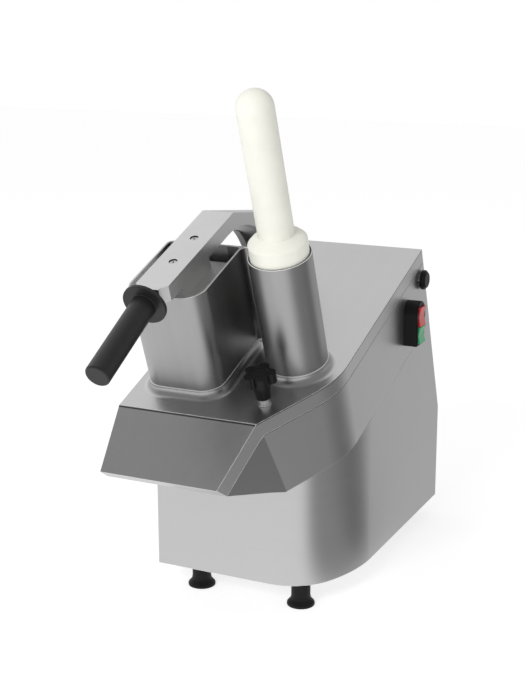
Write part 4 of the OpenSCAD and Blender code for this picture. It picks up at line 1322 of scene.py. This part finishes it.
@dataclass(frozen=True)
class Studio:
    """Pale floor, soft boxes and a world that metal sees as a room with dark flags."""

    plain: float = 0.64
    room: float = 0.3
    least: float = 0.15
    most: float = 4.0
    lobes: tuple[Lobe, ...] = (
        Lobe((-0.42, 0.5, 0.76), 0.55, 0.97, 0.55),
        Lobe((-0.9, 0.1, 0.1), 0.5, 0.98, 0.35),
        Lobe((0.6, 0.75, 0.05), 0.6, 0.98, 0.2),
    )
    floor_half: float = 6.0
    floor_grain: Pattern = Pattern(40.0, octaves=2.0, rough=0.5)
    floor_dark: float = 0.5
    floor_light: float = 0.51
    floor_rough: float = 0.9
    floor_own: float = 0.66
    floor_level: float = 0.98
    floor_lobes: tuple[Lobe, ...] = (
        Lobe((0.94, 0.05, -0.35), 0.68, 0.91, -0.68),
        Lobe((0.42, 0.87, -0.25), 0.6, 0.97, -0.42),
    )
    middle: Triple = (0.0, 0.0, 0.2)
    lamps: tuple[Lamp, ...] = (
        Lamp("key", (-0.2, -2.1, 1.4), (0.0, 0.0, 0.4), 0.8, 24.0),
        Lamp("fill", (-1.4, -0.9, 2.0), (0.0, 0.0, 0.3), 1.6, 3.0),
    )

    def build(self) -> None:
        """Makes the floor, the lamps and the world."""
        self._floor()
        for lamp in self.lamps:
            lamp.build()
        self._world()

    def _floor(self) -> None:
        """Makes the floor, which metal sees with dark flags on it."""
        bpy.ops.mesh.primitive_plane_add(size=2 * self.floor_half, location=(0, 0, 0))
        floor = bpy.context.view_layer.objects.active
        floor.name = "floor"
        made = bpy.data.materials.new("floor_finish")
        made.use_nodes = True
        graph = Graph(made.node_tree)
        grain = graph.noise(graph.place(), self.floor_grain)
        plain = graph.node(
            "ShaderNodeBsdfPrincipled",
            {},
            {
                "Base Color": graph.mixed(grain, grey(self.floor_dark), grey(self.floor_light)),
                "Roughness": self.floor_rough,
                "Specular IOR Level": 0.0,
                "Emission Color": grey(1.0),
                "Emission Strength": self.floor_own,
            },
        )
        away = graph.vector("SUBTRACT", graph.place(), self.middle)
        toward = Value(graph, graph.vector("NORMALIZE", away.outputs[0]).outputs[0])
        level = self._level(graph, toward, self.floor_level, self.floor_lobes)
        seen = graph.node("ShaderNodeEmission", {}, {"Color": level})
        both = self._by_ray(graph, Ray.GLOSSY, plain, seen)
        graph.node("ShaderNodeOutputMaterial", {}, {"Surface": both.outputs[0]})
        floor.data.materials.append(made)

    def _world(self) -> None:
        """Makes the world: white to the camera, a room to metal, and plain light besides."""
        world = bpy.data.worlds.new("studio")
        bpy.context.scene.world = world
        world.use_nodes = True
        graph = Graph(world.node_tree)
        toward = Value(graph, graph.node("ShaderNodeTexCoord").outputs["Generated"])
        level = self._level(graph, toward, self.room, self.lobes)
        plain, white, room = (
            graph.node("ShaderNodeBackground", {}, {"Color": colour, "Strength": strength})
            for colour, strength in ((grey(1.0), self.plain), (grey(1.0), 1.0), (level, 1.0))
        )
        gloss = self._by_ray(graph, Ray.GLOSSY, plain, room)
        both = self._by_ray(graph, Ray.CAMERA, gloss, white)
        graph.node("ShaderNodeOutputWorld", {}, {"Surface": both.outputs[0]})

    def _by_ray(
        self, graph: Graph, ray: Ray, other: bpy.types.Node, seen: bpy.types.Node
    ) -> bpy.types.Node:
        """Mix of two shaders by the kind of ray.

        Args:
            graph: Graph to add to.
            ray: Kind of ray.
            other: Shader for all other rays.
            seen: Shader for rays of that kind.

        Returns:
            The mixing node.
        """
        kind = graph.node("ShaderNodeLightPath").outputs[ray.value]
        inputs = {0: kind, 1: other.outputs[0], 2: seen.outputs[0]}
        return graph.node("ShaderNodeMixShader", {}, inputs)

    def _level(
        self, graph: Graph, toward: Value, base: float, lobes: tuple[Lobe, ...]
    ) -> Value:
        """Brightness of the room in a direction.

        Args:
            graph: Graph to add to.
            toward: Direction, of length one.
            base: Brightness between the patches.
            lobes: Patches.

        Returns:
            The brightness as a grey.
        """
        total = lobes[0].value(graph, toward) + base
        for lobe in lobes[1:]:
            total = total + lobe.value(graph, toward)
        return graph.mixed(total.clamped(self.least, self.most), grey(0.0), grey(1.0))


def main() -> None:
    """Builds the camera, the machine's sub-assemblies and the studio."""
    logging.basicConfig(level=logging.INFO)
    bpy.context.scene.view_settings.view_transform = "Standard"
    View().build()
    dress_nodes()
    for assembly in (FeedLid(), Body(), PressLever(), HandParts(), Controls()):
        for piece in assembly.build():
            faces = len(piece.data.polygons)
            LOG.info("%s: %s, %d faces", type(assembly).__name__, piece.name, faces)
    Studio().build()


if __name__ == "__main__":
    main()
